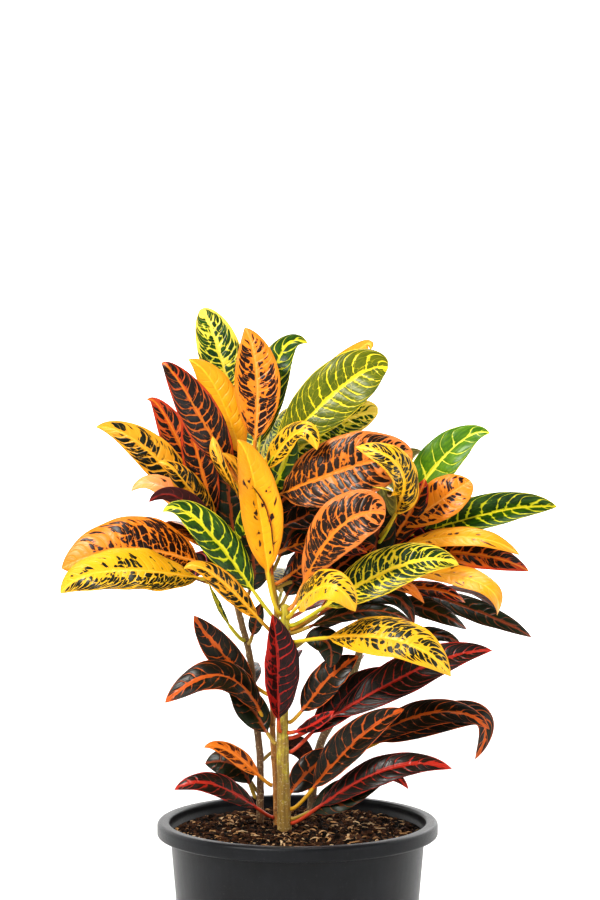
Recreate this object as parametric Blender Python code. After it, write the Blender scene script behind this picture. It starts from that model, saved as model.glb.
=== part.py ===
"""Potted croton: a plastic nursery pot, its soil, four woody stems and their leaves.

Metres, +Z up. The origin is the middle of the pot's underside. +X is the plant's right and
-Y its front. Each stem stands in a socket in the soil, and each leaf is one closed blade
whose stalk ends on the stem that carries it.
"""
import math

import bmesh
import bpy
from mathutils import Vector

GAP = 0.0003                 # clearance between touching pieces

POT_HEIGHT = 0.240
RIM_RADIUS = 0.140
RIM_INNER_RADIUS = 0.128
RIM_BAND = 0.014
WALL_TOP_RADIUS = 0.127
WALL_BOTTOM_RADIUS = 0.107
WALL = 0.0025
FLOOR = 0.003
FOOT_ROUND = 0.004
POT_SIDES = 64
DRAIN_COUNT = 6
DRAIN_RADIUS = 0.007
DRAIN_CIRCLE = 0.078

SOIL_EDGE = 0.227            # height of the soil where it meets the pot
SOIL_MOUND = 0.006           # extra height in the middle
SOIL_ROUGH = 0.0022
SOIL_RINGS = 6
SOIL_SIDES = 32

STEM_SIDES = 12
STEM_STEPS = 16
SOCKET_DEPTH = 0.026

STALK_RADIUS = 0.0013
STALK_GAP = 0.0005           # clearance between a stalk's end and its stem
LEAF_HALF_THICKNESS = 0.0005
LEAF_EDGE_HALF_THICKNESS = 0.00025
MIDRIB_DEPTH = 0.0011
STALK_STATIONS = (0.0, 0.45, 1.0)
BLADE_STATIONS = (0.05, 0.18, 0.36, 0.54, 0.72, 0.88, 1.0)
TIP_WIDTH = 0.0012
CURVE_STEPS = 48
MIDDLE_SHARE = 0.58          # where along its curve a midrib passes its middle point

COLOURS = {
    "pot": (0.045, 0.050, 0.055),
    "soil": (0.035, 0.024, 0.017),
    "bark": (0.22, 0.15, 0.07),
    "yellow": (0.80, 0.62, 0.08),
    "lime": (0.45, 0.50, 0.06),
    "orange": (0.72, 0.20, 0.04),
    "ember": (0.45, 0.06, 0.03),
    "green": (0.10, 0.19, 0.03),
    "wine": (0.17, 0.03, 0.03),
    "dusk": (0.06, 0.09, 0.035),
}

# Each stem: radius at the soil, radius at the top, then its course from the soil up.
STEMS = {
    "front_stem": (0.0070, 0.0045, ((-0.013, -0.020, 0.226), (-0.014, -0.020, 0.275),
                                    (-0.015, -0.022, 0.337), (-0.013, -0.023, 0.400),
                                    (-0.012, -0.024, 0.456))),
    "tall_stem": (0.0030, 0.0026, ((-0.021, 0.000, 0.226), (-0.022, -0.001, 0.278),
                                   (-0.025, -0.002, 0.332), (-0.022, -0.001, 0.400),
                                   (-0.022, 0.000, 0.460), (-0.034, 0.000, 0.500),
                                   (-0.045, 0.001, 0.545), (-0.042, 0.002, 0.612))),
    "left_stem": (0.0037, 0.0030, ((-0.038, 0.016, 0.226), (-0.038, 0.016, 0.300),
                                   (-0.043, 0.015, 0.345), (-0.048, 0.015, 0.400),
                                   (-0.062, 0.014, 0.458), (-0.071, 0.013, 0.536))),
    "right_stem": (0.0046, 0.0034, ((0.014, 0.060, 0.226), (0.023, 0.060, 0.304),
                                    (0.044, 0.058, 0.345), (0.062, 0.055, 0.395),
                                    (0.066, 0.050, 0.430), (0.072, 0.045, 0.475),
                                    (0.085, 0.040, 0.534))),
}

# Each leaf: name, colour, stem, height on it, middle of the midrib, tip, blade width,
# (azimuth, elevation) that its upper side faces, fold of each half, twist towards the tip
# and the stalk's share of the length. Azimuth 0 is the front, 90 the right; degrees.
LEAVES = (
    # top crown
    ("top_leaf_1", "lime", "tall_stem", 0.604, (-0.074, 0.026, 0.690), (-0.100, 0.040, 0.752),
     0.046, (5, 10), 10, 0, 0.10),
    ("top_leaf_2", "orange", "tall_stem", 0.608, (-0.042, -0.004, 0.668), (-0.053, 0.008, 0.732),
     0.042, (5, 5), 12, 0, 0.10),
    ("top_leaf_3", "green", "tall_stem", 0.600, (-0.026, 0.036, 0.684), (0.010, 0.052, 0.719),
     0.038, (-10, 20), 10, 0, 0.12),
    ("top_leaf_4", "ember", "tall_stem", 0.566, (-0.098, -0.038, 0.646), (-0.133, -0.044, 0.694),
     0.042, (-15, 40), 18, 0, 0.20),
    ("top_leaf_5", "yellow", "tall_stem", 0.592, (-0.074, 0.006, 0.654), (-0.110, 0.010, 0.700),
     0.036, (-10, 30), 10, 0, 0.12),
    ("top_leaf_6", "green", "tall_stem", 0.596, (0.030, -0.008, 0.660), (0.090, -0.008, 0.690),
     0.062, (5, 25), 12, 0, 0.15),
    ("top_leaf_7", "lime", "tall_stem", 0.588, (0.038, 0.046, 0.682), (0.075, 0.052, 0.712),
     0.040, (0, 35), 10, 0, 0.12),
    ("top_leaf_8", "lime", "tall_stem", 0.584, (0.025, 0.012, 0.626), (0.081, 0.014, 0.646),
     0.040, (0, 20), 10, 0, 0.12),
    ("top_leaf_9", "yellow", "tall_stem", 0.576, (-0.008, -0.030, 0.620), (0.019, -0.042, 0.609),
     0.028, (0, 35), 15, 0, 0.20),
    ("top_leaf_10", "orange", "tall_stem", 0.556, (0.024, -0.030, 0.582), (0.113, -0.034, 0.607),
     0.070, (0, 20), 10, 0, 0.18),
    ("top_leaf_11", "dusk", "tall_stem", 0.548, (-0.068, -0.060, 0.584), (-0.082, -0.066, 0.622),
     0.024, (-40, 15), 15, 0, 0.15),
    ("top_leaf_12", "lime", "tall_stem", 0.560, (-0.078, -0.008, 0.602), (-0.109, -0.010, 0.626),
     0.024, (0, 75), 10, 0, 0.20),
    # left crown
    ("left_leaf_1", "green", "left_stem", 0.532, (-0.138, 0.016, 0.596), (-0.203, 0.014, 0.632),
     0.040, (0, 30), 15, 0, 0.20),
    ("left_leaf_2", "ember", "left_stem", 0.528, (-0.120, 0.036, 0.615), (-0.154, 0.042, 0.660),
     0.036, (-15, 30), 10, 0, 0.15),
    ("left_leaf_3", "orange", "left_stem", 0.524, (-0.098, 0.008, 0.594), (-0.115, 0.008, 0.648),
     0.034, (-10, 5), 12, 0, 0.15),
    ("left_leaf_4", "wine", "left_stem", 0.518, (-0.106, -0.012, 0.568), (-0.138, -0.020, 0.597),
     0.030, (0, 35), 15, 0, 0.15),
    ("left_leaf_5", "orange", "left_stem", 0.512, (-0.120, -0.002, 0.562), (-0.166, -0.004, 0.568),
     0.026, (0, 35), 10, 0, 0.20),
    ("left_leaf_6", "wine", "left_stem", 0.506, (-0.104, -0.024, 0.552), (-0.146, -0.030, 0.558),
     0.026, (180, 40), 10, 0, 0.20),
    ("left_leaf_7", "orange", "left_stem", 0.486, (-0.142, -0.006, 0.508), (-0.235, -0.008, 0.491),
     0.072, (0, 25), 8, 0, 0.18),
    ("left_leaf_8", "yellow", "left_stem", 0.476, (-0.158, -0.050, 0.492), (-0.230, -0.056, 0.470),
     0.040, (0, 60), 10, 35, 0.20),
    # leaves of the front stem
    ("front_leaf_1", "yellow", "front_stem", 0.448, (-0.037, -0.040, 0.545),
     (-0.059, -0.036, 0.619), 0.048, (25, 0), 22, 0, 0.25),
    ("front_leaf_2", "orange", "front_stem", 0.452, (0.026, -0.062, 0.517), (0.085, -0.070, 0.548),
     0.056, (-5, 25), 12, 0, 0.22),
    ("front_leaf_3", "green", "front_stem", 0.440, (-0.078, -0.044, 0.519),
     (-0.131, -0.052, 0.549), 0.040, (0, 35), 15, 0, 0.25),
    ("front_leaf_4", "yellow", "front_stem", 0.444, (0.020, -0.088, 0.477), (0.055, -0.098, 0.456),
     0.038, (10, 30), 12, 0, 0.20),
    ("front_leaf_5", "green", "front_stem", 0.436, (0.076, -0.050, 0.486),
     (0.157, -0.050, 0.497), 0.048, (0, 30), 15, 0, 0.22),
    ("front_leaf_6", "ember", "front_stem", 0.432, (0.060, -0.034, 0.474),
     (0.124, -0.038, 0.459), 0.026, (0, 50), 10, 0, 0.22),
    ("front_leaf_7", "wine", "front_stem", 0.428, (0.051, -0.050, 0.450), (0.112, -0.052, 0.440),
     0.026, (0, 55), 10, 0, 0.18),
    ("front_leaf_8", "ember", "front_stem", 0.424, (-0.069, -0.056, 0.477), (-0.110, -0.062, 0.494),
     0.026, (0, 40), 10, 0, 0.25),
    ("front_leaf_9", "yellow", "front_stem", 0.420, (0.074, -0.092, 0.436), (0.145, -0.104, 0.395),
     0.050, (0, 40), 15, 0, 0.26),
    ("front_leaf_10", "dusk", "front_stem", 0.416, (0.022, -0.036, 0.424), (0.032, -0.040, 0.396),
     0.028, (10, 20), 10, 0, 0.25),
    ("front_leaf_11", "dusk", "front_stem", 0.412, (0.064, -0.022, 0.460),
     (0.115, -0.026, 0.437), 0.026, (0, 40), 10, 0, 0.22),
    ("front_leaf_12", "wine", "front_stem", 0.332, (-0.020, -0.038, 0.392),
     (-0.025, -0.042, 0.448), 0.048, (25, 0), 22, 0, 0.12),
    # right crown
    ("right_leaf_1", "orange", "right_stem", 0.524, (0.132, 0.014, 0.550), (0.174, 0.010, 0.578),
     0.046, (-5, 30), 12, 0, 0.20),
    ("right_leaf_2", "green", "right_stem", 0.530, (0.142, 0.030, 0.594), (0.195, 0.028, 0.626),
     0.046, (-5, 30), 15, 0, 0.15),
    ("right_leaf_3", "green", "right_stem", 0.516, (0.172, 0.012, 0.540), (0.260, 0.006, 0.552),
     0.044, (0, 25), 12, 0, 0.25),
    ("right_leaf_4", "yellow", "right_stem", 0.508, (0.148, -0.010, 0.522), (0.220, -0.018, 0.505),
     0.028, (0, 45), 10, 0, 0.20),
    ("right_leaf_5", "wine", "right_stem", 0.500, (0.152, 0.004, 0.506), (0.231, 0.000, 0.488),
     0.030, (0, 40), 10, 0, 0.25),
    ("right_leaf_6", "orange", "right_stem", 0.489, (0.158, -0.038, 0.485), (0.195, -0.044, 0.448),
     0.034, (25, 35), 10, 0, 0.20),
    ("right_leaf_7", "wine", "right_stem", 0.462, (0.118, -0.006, 0.454), (0.168, -0.012, 0.431),
     0.026, (0, 45), 10, 0, 0.25),
    ("right_leaf_8", "ember", "right_stem", 0.470, (0.124, 0.010, 0.470), (0.168, 0.006, 0.456),
     0.022, (0, 45), 10, 0, 0.25),
    ("right_leaf_9", "dusk", "right_stem", 0.478, (0.164, 0.020, 0.452), (0.236, 0.018, 0.420),
     0.028, (0, 40), 10, 0, 0.25),
    ("right_leaf_10", "yellow", "right_stem", 0.520, (0.103, -0.056, 0.572), (0.056, -0.070, 0.612),
     0.034, (0, 60), 10, 0, 0.40),
    # low leaves
    ("low_leaf_1", "wine", "front_stem", 0.324, (0.094, -0.030, 0.381), (0.191, -0.034, 0.412),
     0.042, (0, 35), 12, 0, 0.22),
    ("low_leaf_2", "dusk", "front_stem", 0.340, (0.022, -0.028, 0.374), (0.060, -0.030, 0.406),
     0.036, (-10, 35), 12, 0, 0.18),
    ("low_leaf_3", "dusk", "front_stem", 0.254, (0.040, -0.040, 0.307), (0.104, -0.046, 0.356),
     0.040, (-15, 25), 30, 0, 0.22),
    ("low_leaf_4", "dusk", "right_stem", 0.290, (0.112, 0.024, 0.336), (0.193, 0.012, 0.328),
     0.034, (0, 40), 10, 0, 0.22),
    ("low_leaf_5", "wine", "front_stem", 0.240, (0.064, -0.046, 0.288), (0.150, -0.052, 0.299),
     0.032, (0, 40), 12, 0, 0.20),
    ("low_leaf_6", "dusk", "tall_stem", 0.334, (-0.062, -0.024, 0.381), (-0.130, -0.034, 0.361),
     0.036, (0, 40), 12, 0, 0.15),
    ("low_leaf_7", "dusk", "tall_stem", 0.364, (-0.068, -0.004, 0.398), (-0.103, -0.008, 0.444),
     0.032, (-10, 30), 12, 0, 0.18),
    ("low_leaf_8", "ember", "tall_stem", 0.274, (-0.060, -0.006, 0.303), (-0.093, -0.010, 0.313),
     0.020, (0, 45), 10, 0, 0.20),
    ("low_leaf_9", "wine", "tall_stem", 0.242, (-0.070, -0.026, 0.274), (-0.121, -0.032, 0.275),
     0.028, (0, 45), 12, 0, 0.20),
    # leaves of the far side
    ("back_leaf_1", "green", "tall_stem", 0.572, (-0.046, 0.110, 0.628), (-0.056, 0.186, 0.612),
     0.050, (180, 60), 10, 0, 0.18),
    ("back_leaf_2", "orange", "left_stem", 0.492, (-0.110, 0.110, 0.526), (-0.150, 0.186, 0.496),
     0.052, (220, 60), 10, 0, 0.18),
    ("back_leaf_3", "wine", "right_stem", 0.484, (0.112, 0.130, 0.516), (0.140, 0.212, 0.482),
     0.050, (170, 60), 10, 0, 0.18),
)


def clear_scene():
    """Start from an empty scene."""
    for obj in list(bpy.data.objects):
        bpy.data.objects.remove(obj)


def material(name, roughness=0.45):
    """Plain Principled material in one of the plant's colours."""
    mat = bpy.data.materials.get(name)
    if mat is None:
        mat = bpy.data.materials.new(name)
        mat.use_nodes = True
        shader = mat.node_tree.nodes["Principled BSDF"]
        shader.inputs["Base Color"].default_value = (*COLOURS[name], 1.0)
        shader.inputs["Roughness"].default_value = roughness
        shader.inputs["Metallic"].default_value = 0.0
    return mat


def add_object(name, bm, mat):
    """Turn a bmesh into a named, smooth-shaded object."""
    mesh = bpy.data.meshes.new(name)
    bm.to_mesh(mesh)
    bm.free()
    mesh.materials.append(mat)
    mesh.shade_smooth()
    mesh.set_sharp_from_angle(angle=math.radians(35))
    obj = bpy.data.objects.new(name, mesh)
    bpy.context.scene.collection.objects.link(obj)
    return obj


def bridge(bm, lower, upper):
    """Join two rings of the same length with a band of quads."""
    count = len(lower)
    for i in range(count):
        j = (i + 1) % count
        bm.faces.new((lower[i], lower[j], upper[j], upper[i]))


def loft(bm, rings):
    """Closed skin over rings of points, capped at both ends."""
    made = [[bm.verts.new(p) for p in ring] for ring in rings]
    for lower, upper in zip(made, made[1:]):
        bridge(bm, lower, upper)
    bm.faces.new(list(reversed(made[0])))
    bm.faces.new(made[-1])


def ring_points(radius, z, sides, offset=(0.0, 0.0)):
    """Points of a level circle."""
    points = []
    for i in range(sides):
        angle = 2.0 * math.pi * i / sides
        points.append((offset[0] + radius * math.cos(angle),
                       offset[1] + radius * math.sin(angle), z))
    return points


def wall_radius(z):
    """Outer radius of the tapered pot wall at height z."""
    share = z / (POT_HEIGHT - RIM_BAND)
    return WALL_BOTTOM_RADIUS + (WALL_TOP_RADIUS - WALL_BOTTOM_RADIUS) * share


def inner_radius(z):
    """Inner radius of the pot wall at height z."""
    return wall_radius(z) - WALL


def pot_profile():
    """Half section of the pot as (radius, height), from the underside round to the floor."""
    rim_low = POT_HEIGHT - RIM_BAND
    return (
        (WALL_BOTTOM_RADIUS - FOOT_ROUND, 0.0),
        (WALL_BOTTOM_RADIUS, FOOT_ROUND),
        (wall_radius(rim_low), rim_low),
        (RIM_RADIUS - 0.001, rim_low),
        (RIM_RADIUS, rim_low + 0.001),
        (RIM_RADIUS, POT_HEIGHT - 0.003),
        (RIM_RADIUS - 0.003, POT_HEIGHT),
        (RIM_INNER_RADIUS + 0.001, POT_HEIGHT),
        (RIM_INNER_RADIUS, POT_HEIGHT - 0.001),
        (RIM_INNER_RADIUS, rim_low + 0.003),
        (inner_radius(rim_low - 0.003), rim_low - 0.003),
        (inner_radius(FLOOR), FLOOR),
    )


def make_pot():
    """Tapered nursery pot with a flat rolled rim and drain holes in its floor."""
    bm = bmesh.new()
    loft(bm, [ring_points(r, z, POT_SIDES) for r, z in pot_profile()])
    pot = add_object("pot", bm, material("pot", 0.4))
    cutter_bm = bmesh.new()
    for i in range(DRAIN_COUNT):
        angle = 2.0 * math.pi * i / DRAIN_COUNT
        middle = (DRAIN_CIRCLE * math.cos(angle), DRAIN_CIRCLE * math.sin(angle))
        loft(cutter_bm, [ring_points(DRAIN_RADIUS, -FLOOR, 12, middle),
                         ring_points(DRAIN_RADIUS, 2.0 * FLOOR, 12, middle)])
    cut(pot, add_object("pot_drain_cutter", cutter_bm, material("pot")))


def cut(obj, cutter):
    """Subtract a cutter from an object and keep it out of the build."""
    cutter.hide_render = True
    cutter.display_type = "WIRE"
    boolean = obj.modifiers.new("cut", "BOOLEAN")
    boolean.operation = "DIFFERENCE"
    boolean.solver = "EXACT"
    boolean.object = cutter


def soil_height(radius, angle):
    """Height of the soil: a low mound with lumps that die away at the pot wall."""
    share = radius / inner_radius(SOIL_EDGE)
    mound = SOIL_MOUND * (1.0 - share ** 2)
    lumps = math.sin(5 * angle + 9 * share) * math.cos(3 * angle - 14 * share)
    return SOIL_EDGE + mound + SOIL_ROUGH * lumps * min(1.0, 4.0 * (1.0 - share)) * share


def make_soil():
    """Soil that fills the pot, with a socket for each stem."""
    bm = bmesh.new()
    low = FLOOR + GAP
    edge = inner_radius(SOIL_EDGE) - 2.0 * GAP
    rings = [ring_points(inner_radius(low) - 2.0 * GAP, low, SOIL_SIDES)]
    for k in range(SOIL_RINGS):
        radius = edge * (1.0 - k / SOIL_RINGS)
        ring = []
        for i in range(SOIL_SIDES):
            angle = 2.0 * math.pi * i / SOIL_SIDES
            z = soil_height(radius, angle)
            ring.append((radius * math.cos(angle), radius * math.sin(angle), z))
        rings.append(ring)
    loft(bm, rings)
    soil = add_object("soil", bm, material("soil", 0.95))
    socket_bm = bmesh.new()
    for foot_radius, _, course in STEMS.values():
        middle = course[0][:2]
        loft(socket_bm, [
            ring_points(foot_radius + GAP, course[0][2] - SOCKET_DEPTH - GAP, STEM_SIDES, middle),
            ring_points(foot_radius + GAP, SOIL_EDGE + 0.03, STEM_SIDES, middle)])
    cut(soil, add_object("stem_socket_cutter", socket_bm, material("soil")))


def stem_point(name, z):
    """Middle of a stem at height z: a smooth curve through its course."""
    course = [Vector(p) for p in STEMS[name][2]]
    for k in range(len(course) - 1):
        if z <= course[k + 1].z or k == len(course) - 2:
            break
    start, end = course[k], course[k + 1]
    before = course[max(k - 1, 0)]
    after = course[min(k + 2, len(course) - 1)]
    span = end.z - start.z
    t = (z - start.z) / span
    slope_a = (end - before) / (end.z - before.z) * span
    slope_b = (after - start) / (after.z - start.z) * span
    if k == 0:
        slope_a = Vector((0.0, 0.0, span))
    return ((2 * t ** 3 - 3 * t ** 2 + 1) * start + (t ** 3 - 2 * t ** 2 + t) * slope_a
            + (3 * t ** 2 - 2 * t ** 3) * end + (t ** 3 - t ** 2) * slope_b)


def stem_direction(name, z):
    """Unit direction of a stem at height z."""
    return (stem_point(name, z + 0.001) - stem_point(name, z - 0.001)).normalized()


def stem_radius(name, z):
    """Radius of a stem at height z."""
    foot_radius, top_radius, course = STEMS[name]
    share = (z - course[0][2]) / (course[-1][2] - course[0][2])
    return foot_radius + (top_radius - foot_radius) * max(0.0, share)


def make_stem(name):
    """Tapered round stem, straight in its socket and rounded off at the top."""
    foot, top = STEMS[name][2][0], STEMS[name][2][-1]
    rings = [ring_points(STEMS[name][0], foot[2] - SOCKET_DEPTH, STEM_SIDES, foot[:2]),
             ring_points(STEMS[name][0], foot[2], STEM_SIDES, foot[:2])]
    heights = [foot[2] + (top[2] - foot[2]) * (k + 1) / STEM_STEPS for k in range(STEM_STEPS)]
    levels = [(z, stem_radius(name, z)) for z in heights]
    levels.append((top[2] + 0.0015, 0.6 * STEMS[name][1]))
    for z, radius in levels:
        middle = stem_point(name, min(z, top[2]))
        middle.z = z
        along = stem_direction(name, min(z, top[2]) - 0.001)
        across = (Vector((1.0, 0.0, 0.0)) - along * along.x).normalized()
        other = along.cross(across)
        ring = []
        for i in range(STEM_SIDES):
            angle = 2.0 * math.pi * i / STEM_SIDES
            ring.append(middle + radius * (across * math.cos(angle) + other * math.sin(angle)))
        rings.append(ring)
    bm = bmesh.new()
    loft(bm, rings)
    add_object(name, bm, material("bark", 0.7))


def facing(azimuth, elevation):
    """Unit direction from its azimuth (0 front, 90 right) and elevation."""
    turn, rise = math.radians(azimuth), math.radians(elevation)
    return Vector((math.sin(turn) * math.cos(rise), -math.cos(turn) * math.cos(rise),
                   math.sin(rise)))


def midrib(stem, height, middle, tip):
    """Even points along a leaf's midrib, square off its stem at the start."""
    axis = stem_direction(stem, height)
    centre = stem_point(stem, height)
    away = Vector(middle) - centre
    out = (away - axis * away.dot(axis)).normalized()
    start = centre + out * (stem_radius(stem, height) + STALK_GAP)
    end = Vector(tip)
    lead = start + out * 0.10 * (end - start).length
    t = MIDDLE_SHARE
    turn = (Vector(middle) - (1 - t) ** 3 * start - 3 * t * (1 - t) ** 2 * lead
            - t ** 3 * end) / (3 * t ** 2 * (1 - t))
    path = []
    for k in range(CURVE_STEPS + 1):
        t = k / CURVE_STEPS
        path.append((1 - t) ** 3 * start + 3 * t * (1 - t) ** 2 * lead
                    + 3 * t ** 2 * (1 - t) * turn + t ** 3 * end)
    return path


def along_path(path, share):
    """Point and direction at a share of a path's length."""
    lengths = [0.0]
    for a, b in zip(path, path[1:]):
        lengths.append(lengths[-1] + (b - a).length)
    target = share * lengths[-1]
    k = 0
    while k < len(path) - 2 and lengths[k + 1] < target:
        k += 1
    t = (target - lengths[k]) / (lengths[k + 1] - lengths[k])
    ahead = path[min(k + 2, len(path) - 1)] - path[k]
    behind = path[k + 1] - path[max(k - 1, 0)]
    return path[k].lerp(path[k + 1], t), behind.lerp(ahead, t).normalized()


def blade_width(width, u):
    """Width of the blade at a share u from its foot: a pointed ellipse."""
    return max(TIP_WIDTH, width * u ** 0.75 * max(1.0 - u, 0.0) ** 0.80 / 0.342)


def leaf_frame(path, share, faces, twist):
    """Point, side and upward directions of the leaf at a share of its midrib."""
    point, along = along_path(path, share)
    up = facing(*faces)
    up = (up - along * up.dot(along)).normalized()
    side = along.cross(up)
    roll = math.radians(twist) * share
    return point, (side * math.cos(roll) + up * math.sin(roll),
                   up * math.cos(roll) - side * math.sin(roll))


def stalk_ring(point, side, up, radius):
    """Six points round the leaf's stalk."""
    ring = []
    for degrees in (150, 90, 30, -30, -90, -150):
        angle = math.radians(degrees)
        ring.append(point + radius * (side * math.cos(angle) + up * math.sin(angle)))
    return ring


def blade_ring(point, side, up, width, fold):
    """Six points round the blade: two thin edges and a thicker, folded middle."""
    half = 0.5 * width
    rise = up * half * math.sin(math.radians(fold))
    reach = side * half * math.cos(math.radians(fold))
    edge = up * LEAF_EDGE_HALF_THICKNESS
    return [point - reach + rise + edge, point + up * LEAF_HALF_THICKNESS,
            point + reach + rise + edge, point + reach + rise - edge,
            point - up * MIDRIB_DEPTH, point - reach + rise - edge]


def make_leaf(name, colour, stem, height, middle, tip, width, faces, fold, twist, stalk):
    """One leaf: a round stalk off its stem that opens into a folded, pointed blade."""
    path = midrib(stem, height, middle, tip)
    rings = []
    for share in STALK_STATIONS:
        point, (side, up) = leaf_frame(path, share * stalk, faces, twist)
        if share == 0.0:
            out = (path[1] - path[0]).normalized()
            side = out.cross(up).normalized()
            up = side.cross(out)
        rings.append(stalk_ring(point, side, up, STALK_RADIUS))
    for u in BLADE_STATIONS:
        point, (side, up) = leaf_frame(path, stalk + (1.0 - stalk) * u, faces, twist)
        rings.append(blade_ring(point, side, up, blade_width(width, u), fold))
    bm = bmesh.new()
    loft(bm, rings)
    add_object(name, bm, material(colour))


def main():
    """Build the whole potted plant."""
    clear_scene()
    make_pot()
    make_soil()
    for stem in STEMS:
        make_stem(stem)
    for leaf in LEAVES:
        make_leaf(*leaf)


main()
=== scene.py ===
import math
import random

import bmesh
import bpy
import numpy as np
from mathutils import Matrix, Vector, noise


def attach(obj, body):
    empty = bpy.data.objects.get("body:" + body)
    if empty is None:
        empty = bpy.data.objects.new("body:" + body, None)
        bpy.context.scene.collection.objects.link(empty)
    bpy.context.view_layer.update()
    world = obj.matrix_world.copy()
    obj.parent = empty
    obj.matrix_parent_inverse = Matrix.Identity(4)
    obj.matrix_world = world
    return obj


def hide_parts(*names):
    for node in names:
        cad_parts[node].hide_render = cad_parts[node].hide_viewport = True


# Potted croton: leaves, woody stems, potting mix and nursery pot, in metres, +Z up.

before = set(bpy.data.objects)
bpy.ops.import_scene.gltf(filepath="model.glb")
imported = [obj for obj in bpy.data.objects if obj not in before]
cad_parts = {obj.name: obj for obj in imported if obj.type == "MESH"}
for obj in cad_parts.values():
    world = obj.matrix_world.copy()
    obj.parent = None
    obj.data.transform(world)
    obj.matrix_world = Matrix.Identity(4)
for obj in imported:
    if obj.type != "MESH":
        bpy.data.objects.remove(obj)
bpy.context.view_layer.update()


def tone(red, green, blue):
    # screen colour, 0 to 255, to the linear colour that the shaders use
    linear = []
    for part in (red, green, blue):
        part = part / 255
        linear.append(part / 12.92 if part <= 0.04045 else ((part + 0.055) / 1.055) ** 2.4)
    return (*linear, 1.0)


class Val:
    # a socket that takes part in plain maths
    def __init__(self, paint, socket):
        self.paint = paint
        self.socket = socket

    def maths(self, operation, *values):
        return self.paint.add("Math", {"operation": operation}, dict(enumerate(values)))

    def __add__(self, other):
        return self.maths("ADD", self, other)

    def __radd__(self, other):
        return self.maths("ADD", other, self)

    def __sub__(self, other):
        return self.maths("SUBTRACT", self, other)

    def __rsub__(self, other):
        return self.maths("SUBTRACT", other, self)

    def __mul__(self, other):
        return self.maths("MULTIPLY", self, other)

    def __rmul__(self, other):
        return self.maths("MULTIPLY", other, self)

    def __pow__(self, other):
        return self.maths("POWER", self, other)

    def __abs__(self):
        return self.maths("ABSOLUTE", self)

    def fraction(self):
        return self.maths("FRACT", self)

    def capped(self, top):
        return self.maths("MINIMUM", self, top)

    def floored(self, low):
        return self.maths("MAXIMUM", self, low)

    def between(self, low, high):
        # 0 below low, 1 above high, smooth in between
        return self.paint.add("MapRange", {"interpolation_type": "SMOOTHSTEP"},
                              {"Value": self, "From Min": low, "From Max": high})


class Paint:
    # one material and its nodes
    def __init__(self, name, roughness, **fixed):
        self.material = bpy.data.materials.new(name)
        self.material.use_nodes = True
        self.nodes = self.material.node_tree.nodes
        self.links = self.material.node_tree.links
        self.shader = self.nodes["Principled BSDF"]
        self.plug(self.shader, "Roughness", roughness)
        for key, value in fixed.items():
            self.shader.inputs[key.replace("_", " ")].default_value = value

    def plug(self, node, key, value):
        socket = node.inputs[key]
        if isinstance(value, Val):
            self.links.new(value.socket, socket)
        else:
            socket.default_value = value

    def add(self, kind, settings, inputs, output=0):
        node = self.nodes.new("ShaderNode" + kind)
        for key, value in settings.items():
            setattr(node, key, value)
        for key, value in inputs.items():
            self.plug(node, key, value)
        return Val(self, node.outputs[output])

    def attribute(self, name):
        return self.add("Attribute", {"attribute_name": name}, {}, "Fac")

    def vector(self, x, y, z):
        return self.add("CombineXYZ", {}, {0: x, 1: y, 2: z})

    def noise(self, vector, scale, detail=2.0, roughness=0.5):
        return self.add("TexNoise", {}, {"Vector": vector, "Scale": scale, "Detail": detail,
                                         "Roughness": roughness})

    def place(self):
        return self.add("TexCoord", {}, {}, "Object")

    def blend(self, amount, first, second):
        return self.add("Mix", {"data_type": "RGBA"}, {0: amount, 6: first, 7: second}, 2)

    def finish(self, colour, bump=None, depth=0.001):
        self.plug(self.shader, "Base Color", colour)
        if bump is not None:
            normal = self.add("Bump", {}, {"Strength": 1.0, "Distance": depth, "Height": bump})
            self.plug(self.shader, "Normal", normal)
        return self.material


# leaf colours: bare ground from foot to tip, blotches and their halo, veins, underside, stalk;
# cover, gap, veinCut and tipFade set how much the blotches take, edge the bare margin,
# net and thread the fine vein lines, veins how many per metre, fine below 1 longer blotches

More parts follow.
